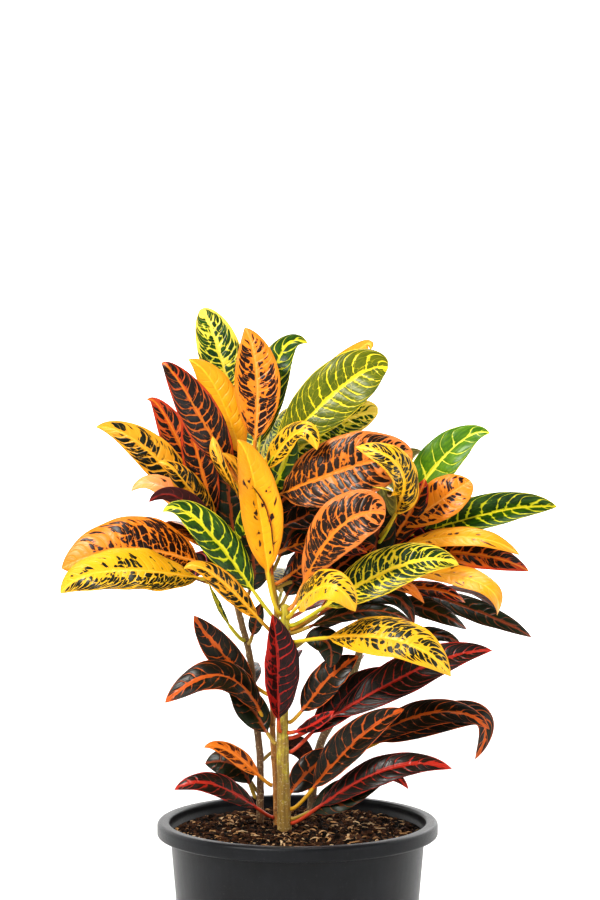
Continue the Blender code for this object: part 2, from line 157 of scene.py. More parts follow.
looks = {
    "lemon": dict(bare=tone(238, 166, 14), tip=tone(234, 146, 22), blotch=tone(60, 34, 12),
                  deep=tone(26, 14, 8), halo=tone(206, 120, 20), vein=tone(248, 190, 44),
                  under=tone(196, 150, 50), stalk=tone(214, 186, 44), cover=0.16, gap=0.02, veinCut=0.3,
                  net=0.0, tipFade=0.3, edge=0.0050, veins=110, thread=0.35),
    "canary": dict(bare=tone(232, 166, 20), tip=tone(236, 174, 36), blotch=tone(36, 42, 14),
                   deep=tone(14, 16, 9), halo=tone(190, 160, 30), vein=tone(244, 194, 56),
                   under=tone(150, 116, 70), stalk=tone(226, 196, 50), cover=0.76, gap=0.04,
                   veinCut=0.5, net=0.0, tipFade=0.16, edge=0.0036, veins=135, thread=0.5),
    "lime": dict(bare=tone(206, 196, 34), tip=tone(232, 200, 80), blotch=tone(44, 84, 12),
                 deep=tone(14, 44, 10), halo=tone(176, 186, 40), vein=tone(238, 214, 84),
                 under=tone(176, 170, 60), stalk=tone(220, 202, 54), cover=1.0, gap=0.04, veinCut=0.5,
                 net=0.0, tipFade=0.14, edge=0.0044, fine=0.8, veins=130, thread=0.6),
    "orange": dict(bare=tone(220, 128, 20), tip=tone(226, 132, 26), blotch=tone(54, 22, 9),
                   deep=tone(20, 9, 5), halo=tone(196, 92, 20), vein=tone(238, 160, 70),
                   under=tone(170, 110, 60), stalk=tone(222, 140, 50), cover=0.86, gap=0.03,
                   veinCut=0.5, net=0.0, tipFade=0.14, edge=0.0052, fine=0.75, veins=135, thread=0.4),
    "coral": dict(bare=tone(204, 118, 22), tip=tone(212, 122, 58), blotch=tone(50, 28, 9),
                  deep=tone(24, 14, 6), halo=tone(164, 74, 20), vein=tone(222, 136, 40),
                  under=tone(170, 100, 70), stalk=tone(232, 150, 70), cover=1.02, gap=0.02, veinCut=0.7,
                  net=0.0, tipFade=0.14, edge=0.0070, fine=0.62, veins=120, thread=0.45),
    "peach": dict(bare=tone(238, 150, 96), tip=tone(246, 160, 84), blotch=tone(70, 60, 40),
                  deep=tone(30, 30, 20), halo=tone(220, 110, 60), vein=tone(246, 176, 126),
                  under=tone(190, 130, 90), stalk=tone(220, 140, 80), cover=0.35, gap=0.03, veinCut=0.4,
                  net=0.0, tipFade=0.30, edge=0.0040, veins=100),
    "ember": dict(bare=tone(200, 104, 22), tip=tone(176, 44, 18), blotch=tone(32, 17, 7),
                  deep=tone(13, 8, 5), halo=tone(146, 52, 14), vein=tone(212, 124, 30),
                  under=tone(120, 44, 30), stalk=tone(206, 120, 40), cover=1.18, gap=-0.02, veinCut=0.9,
                  net=0.1, tipFade=0.05, edge=0.0034, fine=0.66, veins=105, thread=0.55),
    "gold": dict(bare=tone(220, 150, 26), tip=tone(226, 154, 32), blotch=tone(30, 36, 12),
                 deep=tone(11, 13, 8), halo=tone(150, 110, 24), vein=tone(240, 184, 56),
                 under=tone(130, 80, 50), stalk=tone(214, 160, 50), cover=0.92, gap=0.02, veinCut=0.8,
                 net=0.0, tipFade=0.18, edge=0.0034, fine=0.75, veins=115, thread=0.5),
    "olive": dict(bare=tone(222, 202, 30), tip=tone(236, 208, 50), blotch=tone(104, 110, 8),
                  deep=tone(72, 86, 6), halo=tone(170, 160, 16), vein=tone(238, 214, 40),
                  under=tone(150, 140, 50), stalk=tone(226, 196, 50), cover=1.20, gap=-0.10,
                  veinCut=1.0, net=0.25, tipFade=0.10, edge=0.0010, veins=95, thread=0.75),
    "green": dict(bare=tone(198, 196, 30), tip=tone(214, 204, 50), blotch=tone(52, 88, 10),
                  deep=tone(20, 50, 8), halo=tone(110, 140, 20), vein=tone(214, 200, 44),
                  under=tone(120, 124, 56), stalk=tone(196, 184, 50), cover=1.15, gap=-0.06,
                  veinCut=1.1, net=0.0, tipFade=0.10, edge=0.0012, veins=80, thread=0.8),
    "grass": dict(bare=tone(212, 206, 40), tip=tone(214, 208, 60), blotch=tone(96, 136, 12),
                  deep=tone(58, 104, 10), halo=tone(140, 170, 20), vein=tone(232, 226, 80),
                  under=tone(130, 140, 60), stalk=tone(206, 190, 50), cover=1.3, gap=-0.15, veinCut=0.7,
                  net=0.0, tipFade=0.05, edge=0.0010, veins=70, thread=1.1),
    "speckle": dict(bare=tone(226, 196, 34), tip=tone(238, 204, 56), blotch=tone(34, 66, 12),
                    deep=tone(11, 28, 8), halo=tone(160, 170, 30), vein=tone(240, 208, 60),
                    under=tone(140, 132, 60), stalk=tone(206, 196, 50), cover=1.0, gap=0.03,
                    veinCut=0.9, net=0.05, tipFade=0.12, edge=0.0020, fine=0.72, veins=125, thread=0.7),
    "wine": dict(bare=tone(158, 24, 20), tip=tone(186, 38, 26), blotch=tone(48, 11, 11),
                 deep=tone(17, 7, 6), halo=tone(120, 16, 16), vein=tone(184, 44, 28),
                 under=tone(86, 34, 34), stalk=tone(190, 90, 40), cover=1.20, gap=-0.14, veinCut=0.95,
                 net=0.1, tipFade=0.04, edge=0.0020, veins=110, thread=0.5),
    "dusk": dict(bare=tone(168, 78, 20), tip=tone(210, 92, 24), blotch=tone(30, 28, 11),
                 deep=tone(12, 11, 7), halo=tone(104, 48, 14), vein=tone(184, 90, 28),
                 under=tone(78, 52, 44), stalk=tone(200, 150, 40), cover=1.15, gap=-0.15, veinCut=0.9,
                 net=0.12, tipFade=0.10, edge=0.0012, fine=0.7, veins=85, thread=0.45),
    "garnet": dict(bare=tone(134, 32, 20), tip=tone(178, 42, 26), blotch=tone(34, 26, 13),
                   deep=tone(14, 10, 7), halo=tone(110, 26, 14), vein=tone(172, 46, 28),
                   under=tone(84, 40, 38), stalk=tone(190, 70, 40), cover=1.15, gap=-0.15, veinCut=0.9,
                   net=0.12, tipFade=0.05, edge=0.0018, fine=0.8, veins=90, thread=0.45),
    "moss": dict(bare=tone(120, 60, 22), tip=tone(96, 42, 24), blotch=tone(26, 38, 11),
                 deep=tone(10, 17, 7), halo=tone(74, 54, 20), vein=tone(136, 62, 26),
                 under=tone(92, 60, 52), stalk=tone(160, 130, 50), cover=1.30, gap=-0.15, veinCut=1.0,
                 net=0.08, tipFade=0.02, edge=0.0008, veins=85, thread=0.35),
    "rust": dict(bare=tone(206, 108, 28), tip=tone(214, 116, 34), blotch=tone(104, 46, 12),
                 deep=tone(46, 20, 8), halo=tone(160, 74, 18), vein=tone(226, 130, 40),
                 under=tone(140, 80, 50), stalk=tone(206, 140, 40), cover=0.80, gap=0.0, veinCut=0.8,
                 net=0.0, tipFade=0.25, edge=0.0024, fine=0.8, veins=115, thread=0.6),
    "amber": dict(bare=tone(238, 160, 26), tip=tone(236, 146, 26), blotch=tone(110, 66, 16),
                  deep=tone(56, 32, 10), halo=tone(206, 120, 24), vein=tone(246, 184, 60),
                  under=tone(190, 130, 60), stalk=tone(224, 160, 50), cover=0.16, gap=0.02, veinCut=0.3,
                  net=0.0, tipFade=0.25, edge=0.0034, veins=110, thread=0.35),
}
# blotch cells: per side vein, per metre outwards, waviness, scatter
cellShape = dict(perVein=1.25, perMetre=135.0, warp=0.8, jitter=0.9)


def leafPaint(name, look):
    # ragged cells lie between the side veins; the veins, midrib and margin stay bare
    paint = Paint("leaf-" + name, 0.3, Specular_IOR_Level=0.26)
    along = paint.attribute("along")
    across = paint.attribute("across")
    reach = paint.attribute("reach")
    vein = paint.attribute("vein")
    upper = paint.attribute("upper")
    seed = paint.attribute("seed")
    more = paint.attribute("more")
    out = abs(across)
    fromMidrib = out * reach
    fromEdge = (1 - out) * reach
    wedge = abs(vein.fraction() - 0.5) * 2
    side = across.between(-0.001, 0.001) * 17.3
    cloud = paint.noise(paint.vector(along * 6 + seed, across * 1.5, seed * 3.7), 1.0, 2.0, 0.6)
    crumb = paint.noise(paint.vector(vein * 2.6, fromMidrib * 420 + seed, side), 1.0, 2.0, 0.55)
    warpA = paint.noise(paint.vector(vein * 1.1, fromMidrib * 210, seed + side), 1.0, 2.0, 0.5)
    warpB = paint.noise(paint.vector(vein * 1.1, fromMidrib * 210, seed + side + 9), 1.0, 2.0, 0.5)
    spot = paint.vector(vein * cellShape["perVein"] + (warpA - 0.5) * cellShape["warp"],
                        fromMidrib * cellShape["perMetre"] * look.get("fine", 1.0) + seed + side
                        + (warpB - 0.5) * cellShape["warp"], 0.0)
    inputs = {"Vector": spot, "Scale": 1.0, "Randomness": cellShape["jitter"]}
    flat = {"voronoi_dimensions": "2D", "feature": "F1"}
    pick = paint.add("SeparateColor", {}, {"Color": paint.add("TexVoronoi", flat, inputs, "Color")})
    rimOf = {"voronoi_dimensions": "2D", "feature": "DISTANCE_TO_EDGE"}
    inset = paint.add("TexVoronoi", rimOf, inputs, "Distance")
    edgeLoss = 1 - fromEdge.between(0.0004, look["edge"])
    midLoss = 1 - fromMidrib.between(0.0010, 0.0034)
    tipLoss = along.between(1 - 1.2 * look["tipFade"], 1.0) * look["tipFade"] * 2.4
    plenty = (look["cover"] + more + (cloud - 0.5) * 1.3 - edgeLoss * 0.8 - midLoss * 0.9
              - tipLoss)
    size = ((plenty - pick * 0.9) * 2.0).capped(0.45).floored(-0.8)
    field = (inset - look["gap"] - (0.45 - size) * 0.7 + (crumb - 0.5) * 0.32
             - wedge ** 5.0 * look["veinCut"] * 0.5)
    blotch = field.between(-0.03, 0.04)
    halo = field.between(-0.22, 0.0)
    shade = paint.noise(paint.vector(along * 9, across * 3, seed * 2.3), 1.0, 2.0)
    bare = paint.blend(along.between(0.35, 1.0), look["bare"], look["tip"])
    bare = paint.blend((shade - 0.35) * 0.6, bare, look["vein"])
    rim = (1 - fromEdge.between(0.0004, look["edge"] * 1.3)) * 0.75
    bare = paint.blend(halo * 0.6, bare, look["halo"])
    bare = paint.blend(rim, bare, look["tip"])
    inside = paint.blend((cloud + crumb - 0.55).between(0.1, 0.75), look["blotch"], look["deep"])
    colour = paint.blend(blotch, bare, inside)
    broken = crumb.between(0.30, 0.55)
    net = (1 - inset.between(0.005, 0.06)) * look["net"] * broken
    colour = paint.blend(net, colour, look["vein"])
    thread = (wedge.between(0.895, 0.99) * (1 - out.between(0.35, 1.0) * 0.75)
              * (0.25 + broken * 0.65) * look.get("thread", 0.9))
    colour = paint.blend(thread, colour, look["vein"])
    rib = 1 - fromMidrib.between(0.0004, 0.0013)
    colour = paint.blend(rib * 0.9, colour, look["vein"])
    underside = paint.blend(thread * 0.5 + rib * 0.5, look["under"], look["vein"])
    underside = paint.blend(blotch * 0.45, underside, look["deep"])
    colour = paint.blend(upper, underside, colour)
    colour = paint.blend(1 - along.between(-0.05, 0.015), colour, look["stalk"])
    height = crumb * 0.2 - wedge.between(0.7, 1.0) * 0.8 + inset.between(0.0, 0.2) * 0.25
    rough = 0.27 + crumb * 0.12 + (1 - upper) * 0.28
    paint.plug(paint.shader, "Roughness", rough)
    return paint.finish(colour, height, 0.0003)


leafPaints = {name: leafPaint(name, look) for name, look in looks.items()}
print("leaf finishes", len(leafPaints))


stemCourses = {
    # radius at the soil, radius at the top, course from the soil up
    "frontStem": (0.0070, 0.0045, ((-0.013, -0.020, 0.226), (-0.014, -0.020, 0.275),
                                   (-0.015, -0.022, 0.337), (-0.013, -0.023, 0.400),
                                   (-0.012, -0.024, 0.456))),
    "tallStem": (0.0030, 0.0026, ((-0.021, 0.000, 0.226), (-0.022, -0.001, 0.278),
                                  (-0.025, -0.002, 0.332), (-0.022, -0.001, 0.400),
                                  (-0.022, 0.000, 0.460), (-0.034, 0.000, 0.500),
                                  (-0.045, 0.001, 0.545), (-0.042, 0.002, 0.612))),
    "leftStem": (0.0037, 0.0030, ((-0.038, 0.016, 0.226), (-0.038, 0.016, 0.300),
                                  (-0.043, 0.015, 0.345), (-0.048, 0.015, 0.400),
                                  (-0.062, 0.014, 0.458), (-0.071, 0.013, 0.536))),
    "rightStem": (0.0046, 0.0034, ((0.014, 0.060, 0.226), (0.023, 0.060, 0.304),
                                   (0.044, 0.058, 0.345), (0.062, 0.055, 0.395),
                                   (0.066, 0.050, 0.430), (0.072, 0.045, 0.475),
                                   (0.085, 0.040, 0.534))),
}
stemLook = {
    "frontStem": dict(node="front_stem", young=tone(188, 172, 46), old=tone(148, 116, 46)),
    "tallStem": dict(node="tall_stem", young=tone(176, 150, 50), old=tone(168, 112, 48)),
    "leftStem": dict(node="left_stem", young=tone(112, 84, 48), old=tone(120, 88, 58)),
    "rightStem": dict(node="right_stem", young=tone(110, 92, 52), old=tone(112, 88, 62)),
}
stemShape = dict(sides=36, step=0.0016, sunk=0.012, scarEvery=0.011, scarHeight=0.0007,
                 grain=0.00025)


def unit(vector):
    return vector / np.linalg.norm(vector)


def stemPoint(stem, z):
    # smooth curve through the stem's course
    course = [np.array(point) for point in stemCourses[stem][2]]
    for k in range(len(course) - 1):
        if z <= course[k + 1][2] or k == len(course) - 2:
            break
    start, end = course[k], course[k + 1]
    before, after = course[max(k - 1, 0)], course[min(k + 2, len(course) - 1)]
    span = end[2] - start[2]
    t = (z - start[2]) / span
    slopeA = (end - before) / (end[2] - before[2]) * span
    slopeB = (after - start) / (after[2] - start[2]) * span
    if k == 0:
        slopeA = np.array((0.0, 0.0, span))
    return ((2 * t ** 3 - 3 * t ** 2 + 1) * start + (t ** 3 - 2 * t ** 2 + t) * slopeA
            + (3 * t ** 2 - 2 * t ** 3) * end + (t ** 3 - t ** 2) * slopeB)


def stemDirection(stem, z):
    return unit(stemPoint(stem, z + 0.001) - stemPoint(stem, z - 0.001))


def stemRadius(stem, z):
    foot, top, course = stemCourses[stem]
    share = (z - course[0][2]) / (course[-1][2] - course[0][2])
    return foot + (top - foot) * min(max(0.0, share), 1.0)


def addPiece(name, verts, faces, material, attributes=None, atlas=None):
    # mesh object with float point attributes and, if given, its own bake layout
    mesh = bpy.data.meshes.new(name)
    mesh.from_pydata(verts, [], faces)
    for key, values in (attributes or {}).items():
        layer = mesh.attributes.new(key, "FLOAT", "POINT")
        layer.data.foreach_set("value", np.asarray(values, dtype=np.float32))
    if atlas is not None:
        layer = mesh.uv_layers.new(name="OFBake")
        layer.data.foreach_set("uv", np.asarray(atlas, dtype=np.float32).ravel())
    mesh.materials.append(material)
    mesh.shade_smooth()
    piece = bpy.data.objects.new(name, mesh)
    bpy.context.scene.collection.objects.link(piece)
    return piece


def gridFaces(rows, ring):
    # quads round a tube of rows rings, with its two end caps last
    faces = []
    for i in range(rows - 1):
        for j in range(ring):
            k = (j + 1) % ring
            faces.append((i * ring + j, i * ring + k, (i + 1) * ring + k, (i + 1) * ring + j))
    faces.append(tuple(range(ring - 1, -1, -1)))
    faces.append(tuple((rows - 1) * ring + j for j in range(ring)))
    return faces


def gridAtlas(places, rounds, capRoom=0.03):
    # unrolls a tube: along it in x, round it in y, the two caps in a strip beside it
    ring = len(rounds) - 1
    atlas = []
    for i in range(len(places) - 1):
        left = capRoom + (1 - capRoom) * places[i]
        right = capRoom + (1 - capRoom) * places[i + 1]
        for j in range(ring):
            low, high = rounds[j], rounds[j + 1]
            atlas += [(left, low), (left, high), (right, high), (right, low)]
    for height in (0.25, 0.75):
        for j in range(ring):
            angle = math.tau * j / ring
            atlas.append((capRoom * (0.45 + 0.35 * math.cos(angle)),
                          height + 0.1 * math.sin(angle)))
    return atlas


def barkPaint(name, young, old):
    # smooth green-brown bark: browner and more cracked low down
    paint = Paint("bark-" + name, 0.6)
    place = paint.place()
    age = paint.attribute("age")
    scar = paint.attribute("scar")
    patches = paint.noise(place, 90.0, 3.0, 0.6)
    lines = paint.add("Mapping", {}, {"Vector": place, "Scale": (420, 420, 36)})
    grain = paint.noise(lines, 1.0, 3.0, 0.6)
    flecks = paint.noise(place, 520.0, 1.0).between(0.60, 0.68)
    brown = (age + (patches - 0.5) * 1.4).between(0.25, 0.75)
    colour = paint.blend(brown, young, old)
    colour = paint.blend(grain.between(0.35, 0.75) * 0.55, colour, tone(70, 50, 30))
    colour = paint.blend(flecks * 0.6, colour, tone(186, 164, 120))
    colour = paint.blend(scar * 0.75, colour, tone(58, 42, 28))
    paint.plug(paint.shader, "Roughness", 0.5 + grain * 0.3)
    return paint.finish(colour, grain + patches * 0.6, 0.0006)


def stemScars(stem):
    # height and angle of each leaf scar, winding up the stem
    shape = stemShape
    course = stemCourses[stem][2]
    rng = random.Random(stem)
    scars = []
    z = course[0][2] + 0.012
    turn = rng.uniform(0, math.tau)
    while z < course[-1][2] - 0.004:
        scars.append((z, turn % math.tau))
        z += shape["scarEvery"] * rng.uniform(0.6, 1.5)
        turn += 2.4 + rng.uniform(-0.3, 0.3)
    return scars


def makeStem(stem):
    look, shape = stemLook[stem], stemShape
    course = stemCourses[stem][2]
    low, high = course[0][2] - shape["sunk"], course[-1][2] + 0.0012
    rows = int((high - low) / shape["step"])
    ring = shape["sides"]
    scars = stemScars(stem)
    verts, age, marks = [], [], []
    for i in range(rows):
        z = low + (high - low) * i / (rows - 1)
        level = min(max(z, course[0][2]), course[-1][2] - 0.001)
        middle = stemPoint(stem, level)
        middle[2] = z
        direction = stemDirection(stem, max(level, course[0][2] + 0.001))
        across = unit(np.array((1.0, 0.0, 0.0)) - direction * direction[0])
        other = np.cross(direction, across)
        radius = stemRadius(stem, level)
        closing = (high - z) / 0.0024
        if closing < 1:
            radius *= math.sqrt(max(0.02, closing))
        flare = 1 + 0.22 * math.exp(-max(0.0, z - course[0][2]) / 0.006) * (radius > 0.004)
        for j in range(ring):
            angle = math.tau * j / ring
            bump, mark = 0.0, 0.0
            for scarZ, scarTurn in scars:
                if abs(scarZ - z) < 0.006:
                    gap = (angle - scarTurn + math.pi) % math.tau - math.pi
                    far = (gap * radius / 0.0034) ** 2
                    bump += math.exp(-far - ((z - scarZ) / 0.0016) ** 2) * shape["scarHeight"]
                    mark = max(mark, math.exp(-1.6 * far - ((z - scarZ - 0.0009) / 0.0008) ** 2))
            spot = Vector((math.cos(angle) * 3 + 7, math.sin(angle) * 3, z * 160))
            bump += noise.noise(spot) * shape["grain"]
            out = across * math.cos(angle) + other * math.sin(angle)
            verts.append(tuple(middle + out * (radius * flare + bump)))
            age.append(1 - (z - low) / (high - low))
            marks.append(mark)
    faces = gridFaces(rows, ring)
    atlas = gridAtlas([i / (rows - 1) for i in range(rows)], [j / ring for j in range(ring + 1)])
    paint = barkPaint(stem, look["young"], look["old"])
    piece = addPiece(stem, verts, faces, paint, {"age": age, "scar": marks}, atlas)
    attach(piece, "root")
    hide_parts(look["node"])


for stemName in stemCourses:
    makeStem(stemName)
print("stems", len(stemCourses))


leafShape = dict(
    acrossStops=(0.0, 0.03, 0.065, 0.11, 0.18, 0.27, 0.38, 0.50, 0.62, 0.74, 0.85, 0.94, 1.0),
    stalkRows=12, bladeRows=92, curveSteps=64, middleShare=0.58, stalkGap=0.0004,
    stalkRadius=0.00185, stalkFoot=0.0021, halfThickness=0.00022, tipWidth=0.0008,
    ribDepth=0.0011, ribRadius=0.0009, grooveDepth=0.0004, quilt=0.020, curl=0.10,
    wave=0.045, rise=0.75, fall=0.84)

# node, look, stem, height on it, middle of the midrib, tip, blade width, (azimuth, elevation)
# that the upper side faces, fold of each half, twist, the stalk's share, and its own changes:
# more blotches, their tilt across and fade to the tip, wave, rise and fall of the outline
leafRows = (
    ("top_leaf_1", "lime", "tallStem", 0.604, (-0.074, 0.026, 0.690), (-0.100, 0.040, 0.752),
     0.046, (5, 10), 10, 0, 0.10, dict(fall=0.55)),
    ("top_leaf_2", "orange", "tallStem", 0.608, (-0.040, -0.004, 0.668), (-0.053, 0.008, 0.732),
     0.047, (5, 5), 12, 0, 0.10, dict(more=-0.05, fade=0.4, tilt=0.15)),
    ("top_leaf_3", "green", "tallStem", 0.600, (-0.026, 0.036, 0.684), (0.010, 0.052, 0.719),
     0.038, (-10, 20), 10, 0, 0.12, dict(more=0.3)),
    ("top_leaf_4", "ember", "tallStem", 0.566, (-0.098, -0.038, 0.646), (-0.133, -0.044, 0.694),
     0.042, (-15, 40), 18, 0, 0.20),
    ("top_leaf_5", "lemon", "tallStem", 0.592, (-0.074, 0.006, 0.654), (-0.110, 0.010, 0.700),
     0.036, (-10, 30), 10, 0, 0.12),
    ("top_leaf_6", "olive", "tallStem", 0.596, (0.030, -0.008, 0.660), (0.090, -0.008, 0.690),
     0.060, (5, 22), 12, 0, 0.12, dict(rise=0.80, fall=0.50)),
    ("top_leaf_7", "amber", "tallStem", 0.588, (0.038, 0.046, 0.682), (0.075, 0.052, 0.712),
     0.040, (0, 35), 10, 0, 0.12),
    ("top_leaf_8", "lime", "tallStem", 0.584, (0.025, 0.012, 0.626), (0.081, 0.014, 0.646),
     0.040, (0, 20), 10, 0, 0.12, dict(fall=0.45)),
    ("top_leaf_9", "canary", "tallStem", 0.576, (-0.008, -0.030, 0.620), (0.019, -0.042, 0.609),
     0.028, (0, 35), 15, 0, 0.20, dict(more=0.05)),
    ("top_leaf_10", "coral", "tallStem", 0.556, (0.024, -0.030, 0.582), (0.113, -0.034, 0.607),
     0.070, (0, 20), 10, 0, 0.18, dict(fade=0.7, rise=0.65, fall=0.6)),
    ("top_leaf_11", "gold", "tallStem", 0.548, (-0.068, -0.060, 0.584), (-0.082, -0.066, 0.622),
     0.024, (-40, 15), 15, 0, 0.15),
    ("top_leaf_12", "lemon", "tallStem", 0.560, (-0.078, -0.008, 0.602), (-0.109, -0.010, 0.626),
     0.024, (0, 75), 10, 0, 0.20),
    ("left_leaf_1", "gold", "leftStem", 0.532, (-0.138, 0.016, 0.596), (-0.203, 0.014, 0.632),
     0.040, (0, 30), 15, 0, 0.20, dict(fade=0.5, tilt=-0.15)),
    ("left_leaf_2", "ember", "leftStem", 0.528, (-0.120, 0.036, 0.615), (-0.154, 0.042, 0.660),
     0.036, (-15, 30), 10, 0, 0.15, dict(more=-0.2, fade=0.7)),
    ("left_leaf_3", "ember", "leftStem", 0.524, (-0.098, 0.008, 0.594), (-0.115, 0.008, 0.648),
     0.034, (-10, 5), 12, 0, 0.15, dict(more=-0.1, fade=0.5)),
    ("left_leaf_4", "gold", "leftStem", 0.518, (-0.106, -0.012, 0.568), (-0.138, -0.020, 0.597),
     0.030, (0, 35), 15, 0, 0.15, dict(more=0.4)),
    ("left_leaf_5", "peach", "leftStem", 0.512, (-0.120, -0.002, 0.562), (-0.166, -0.004, 0.568),
     0.026, (0, 35), 10, 0, 0.20),
    ("left_leaf_6", "wine", "leftStem", 0.506, (-0.104, -0.024, 0.552), (-0.146, -0.030, 0.558),
     0.026, (180, 40), 10, 0, 0.20),
    ("left_leaf_7", "orange", "leftStem", 0.486, (-0.142, -0.006, 0.508), (-0.235, -0.008, 0.491),
     0.072, (0, 25), 8, 0, 0.18, dict(more=-0.05, fade=1.0, wave=1.4)),
    ("left_leaf_8", "canary", "leftStem", 0.476, (-0.158, -0.050, 0.492), (-0.230, -0.056, 0.470),
     0.048, (0, 45), 10, 25, 0.20, dict(more=-0.05, tilt=-0.7, wave=2.4)),
    ("front_leaf_1", "lemon", "frontStem", 0.448, (-0.037, -0.040, 0.545), (-0.059, -0.036, 0.619),
     0.048, (25, 0), 22, 0, 0.25),
    ("front_leaf_2", "coral", "frontStem", 0.452, (0.026, -0.062, 0.517), (0.085, -0.070, 0.548),
     0.056, (-5, 25), 12, 0, 0.22, dict(more=0.05, fade=0.5, rise=1.0, fall=0.45)),
    ("front_leaf_3", "green", "frontStem", 0.440, (-0.078, -0.044, 0.519), (-0.131, -0.052, 0.549),
     0.040, (0, 35), 15, 0, 0.25),
    ("front_leaf_4", "canary", "frontStem", 0.444, (0.020, -0.088, 0.477), (0.055, -0.098, 0.456),
     0.040, (10, 30), 12, 0, 0.20, dict(more=-0.2, tilt=-0.4, fade=0.4)),
    ("front_leaf_5", "speckle", "frontStem", 0.436, (0.076, -0.050, 0.486), (0.157, -0.050, 0.497),
     0.048, (0, 30), 15, 0, 0.22),
    ("front_leaf_6", "rust", "frontStem", 0.432, (0.060, -0.034, 0.474), (0.124, -0.038, 0.459),
     0.026, (0, 50), 10, 0, 0.22),
    ("front_leaf_7", "moss", "frontStem", 0.428, (0.051, -0.050, 0.450), (0.112, -0.052, 0.440),
     0.026, (0, 55), 10, 0, 0.18),
    ("front_leaf_8", "gold", "frontStem", 0.424, (-0.069, -0.056, 0.477), (-0.110, -0.062, 0.494),
     0.026, (0, 40), 10, 0, 0.25),
    ("front_leaf_9", "canary", "frontStem", 0.420, (0.074, -0.092, 0.431), (0.145, -0.104, 0.395),
     0.050, (0, 40), 15, 0, 0.26, dict(more=0.05, tilt=-0.25, rise=0.9, fall=0.95)),
    ("front_leaf_10", "moss", "frontStem", 0.416, (0.022, -0.036, 0.424), (0.032, -0.040, 0.396),
     0.028, (10, 20), 10, 0, 0.25),
    ("front_leaf_11", "moss", "frontStem", 0.412, (0.064, -0.022, 0.460), (0.115, -0.026, 0.437),
     0.026, (0, 40), 10, 0, 0.22),
    ("front_leaf_12", "wine", "frontStem", 0.332, (-0.020, -0.038, 0.392), (-0.025, -0.042, 0.448),
     0.047, (34, 0), 30, 0, 0.12, dict(tilt=0.9)),
    ("right_leaf_1", "orange", "rightStem", 0.524, (0.132, 0.014, 0.550), (0.174, 0.010, 0.578),
     0.046, (-5, 30), 12, 0, 0.20, dict(more=-0.25, rise=1.0, fall=0.6)),
    ("right_leaf_2", "grass", "rightStem", 0.530, (0.142, 0.030, 0.594), (0.195, 0.028, 0.626),
     0.046, (-5, 30), 15, 0, 0.15),
    ("right_leaf_3", "green", "rightStem", 0.516, (0.172, 0.012, 0.540), (0.260, 0.006, 0.552),
     0.048, (0, 15), 44, 0, 0.25, dict(more=0.2)),
    ("right_leaf_4", "amber", "rightStem", 0.508, (0.148, -0.010, 0.522), (0.220, -0.018, 0.505),
     0.028, (0, 45), 10, 0, 0.20),
    ("right_leaf_5", "ember", "rightStem", 0.500, (0.152, 0.004, 0.506), (0.231, 0.000, 0.488),
     0.034, (0, 30), 10, 0, 0.25, dict(tilt=-0.7)),
    ("right_leaf_6", "amber", "rightStem", 0.489, (0.158, -0.038, 0.485), (0.195, -0.044, 0.448),
     0.034, (25, 35), 10, 0, 0.20),
    ("right_leaf_7", "moss", "rightStem", 0.462, (0.118, -0.006, 0.454), (0.168, -0.012, 0.431),
     0.026, (0, 45), 10, 0, 0.25),
    ("right_leaf_8", "ember", "rightStem", 0.470, (0.124, 0.010, 0.470), (0.168, 0.006, 0.456),
     0.022, (0, 45), 10, 0, 0.25),
    ("right_leaf_9", "moss", "rightStem", 0.478, (0.164, 0.020, 0.452), (0.236, 0.018, 0.420),
     0.028, (0, 40), 10, 0, 0.25),
    ("right_leaf_10", "canary", "rightStem", 0.520, (0.103, -0.056, 0.572), (0.056, -0.070, 0.612),
     0.036, (5, 32), 10, 0, 0.34, dict(more=0.15)),
    ("low_leaf_1", "garnet", "frontStem", 0.324, (0.094, -0.030, 0.381), (0.191, -0.034, 0.412),
     0.042, (0, 35), 12, 0, 0.22),
    ("low_leaf_2", "dusk", "frontStem", 0.340, (0.022, -0.028, 0.374), (0.060, -0.030, 0.406),
     0.036, (-10, 35), 12, 0, 0.18),
    ("low_leaf_3", "dusk", "frontStem", 0.254, (0.040, -0.040, 0.307), (0.104, -0.046, 0.356),
     0.040, (-15, 25), 30, 0, 0.22),
    ("low_leaf_4", "dusk", "rightStem", 0.290, (0.112, 0.024, 0.336), (0.193, 0.012, 0.328),
     0.034, (0, 40), 10, 0, 0.22),
    ("low_leaf_5", "garnet", "frontStem", 0.240, (0.064, -0.046, 0.288), (0.150, -0.052, 0.299),
     0.032, (0, 40), 12, 0, 0.20),
    ("low_leaf_6", "dusk", "tallStem", 0.334, (-0.062, -0.024, 0.381), (-0.130, -0.034, 0.361),
     0.036, (0, 40), 12, 0, 0.15),
    ("low_leaf_7", "dusk", "tallStem", 0.364, (-0.068, -0.004, 0.398), (-0.103, -0.008, 0.444),
     0.032, (-10, 30), 12, 0, 0.18),
    ("low_leaf_8", "rust", "tallStem", 0.274, (-0.060, -0.006, 0.303), (-0.093, -0.010, 0.313),
     0.020, (0, 45), 10, 0, 0.20),
    ("low_leaf_9", "garnet", "tallStem", 0.242, (-0.070, -0.026, 0.274), (-0.121, -0.032, 0.275),
     0.028, (0, 45), 12, 0, 0.20),
    ("back_leaf_1", "green", "tallStem", 0.572, (-0.046, 0.110, 0.628), (-0.056, 0.186, 0.612),
     0.050, (180, 60), 10, 0, 0.18),
    ("back_leaf_2", "orange", "leftStem", 0.492, (-0.110, 0.110, 0.526), (-0.150, 0.186, 0.496),
     0.052, (220, 60), 10, 0, 0.18),
    ("back_leaf_3", "wine", "rightStem", 0.484, (0.112, 0.130, 0.516), (0.140, 0.212, 0.482),
     0.050, (170, 60), 10, 0, 0.18),
)


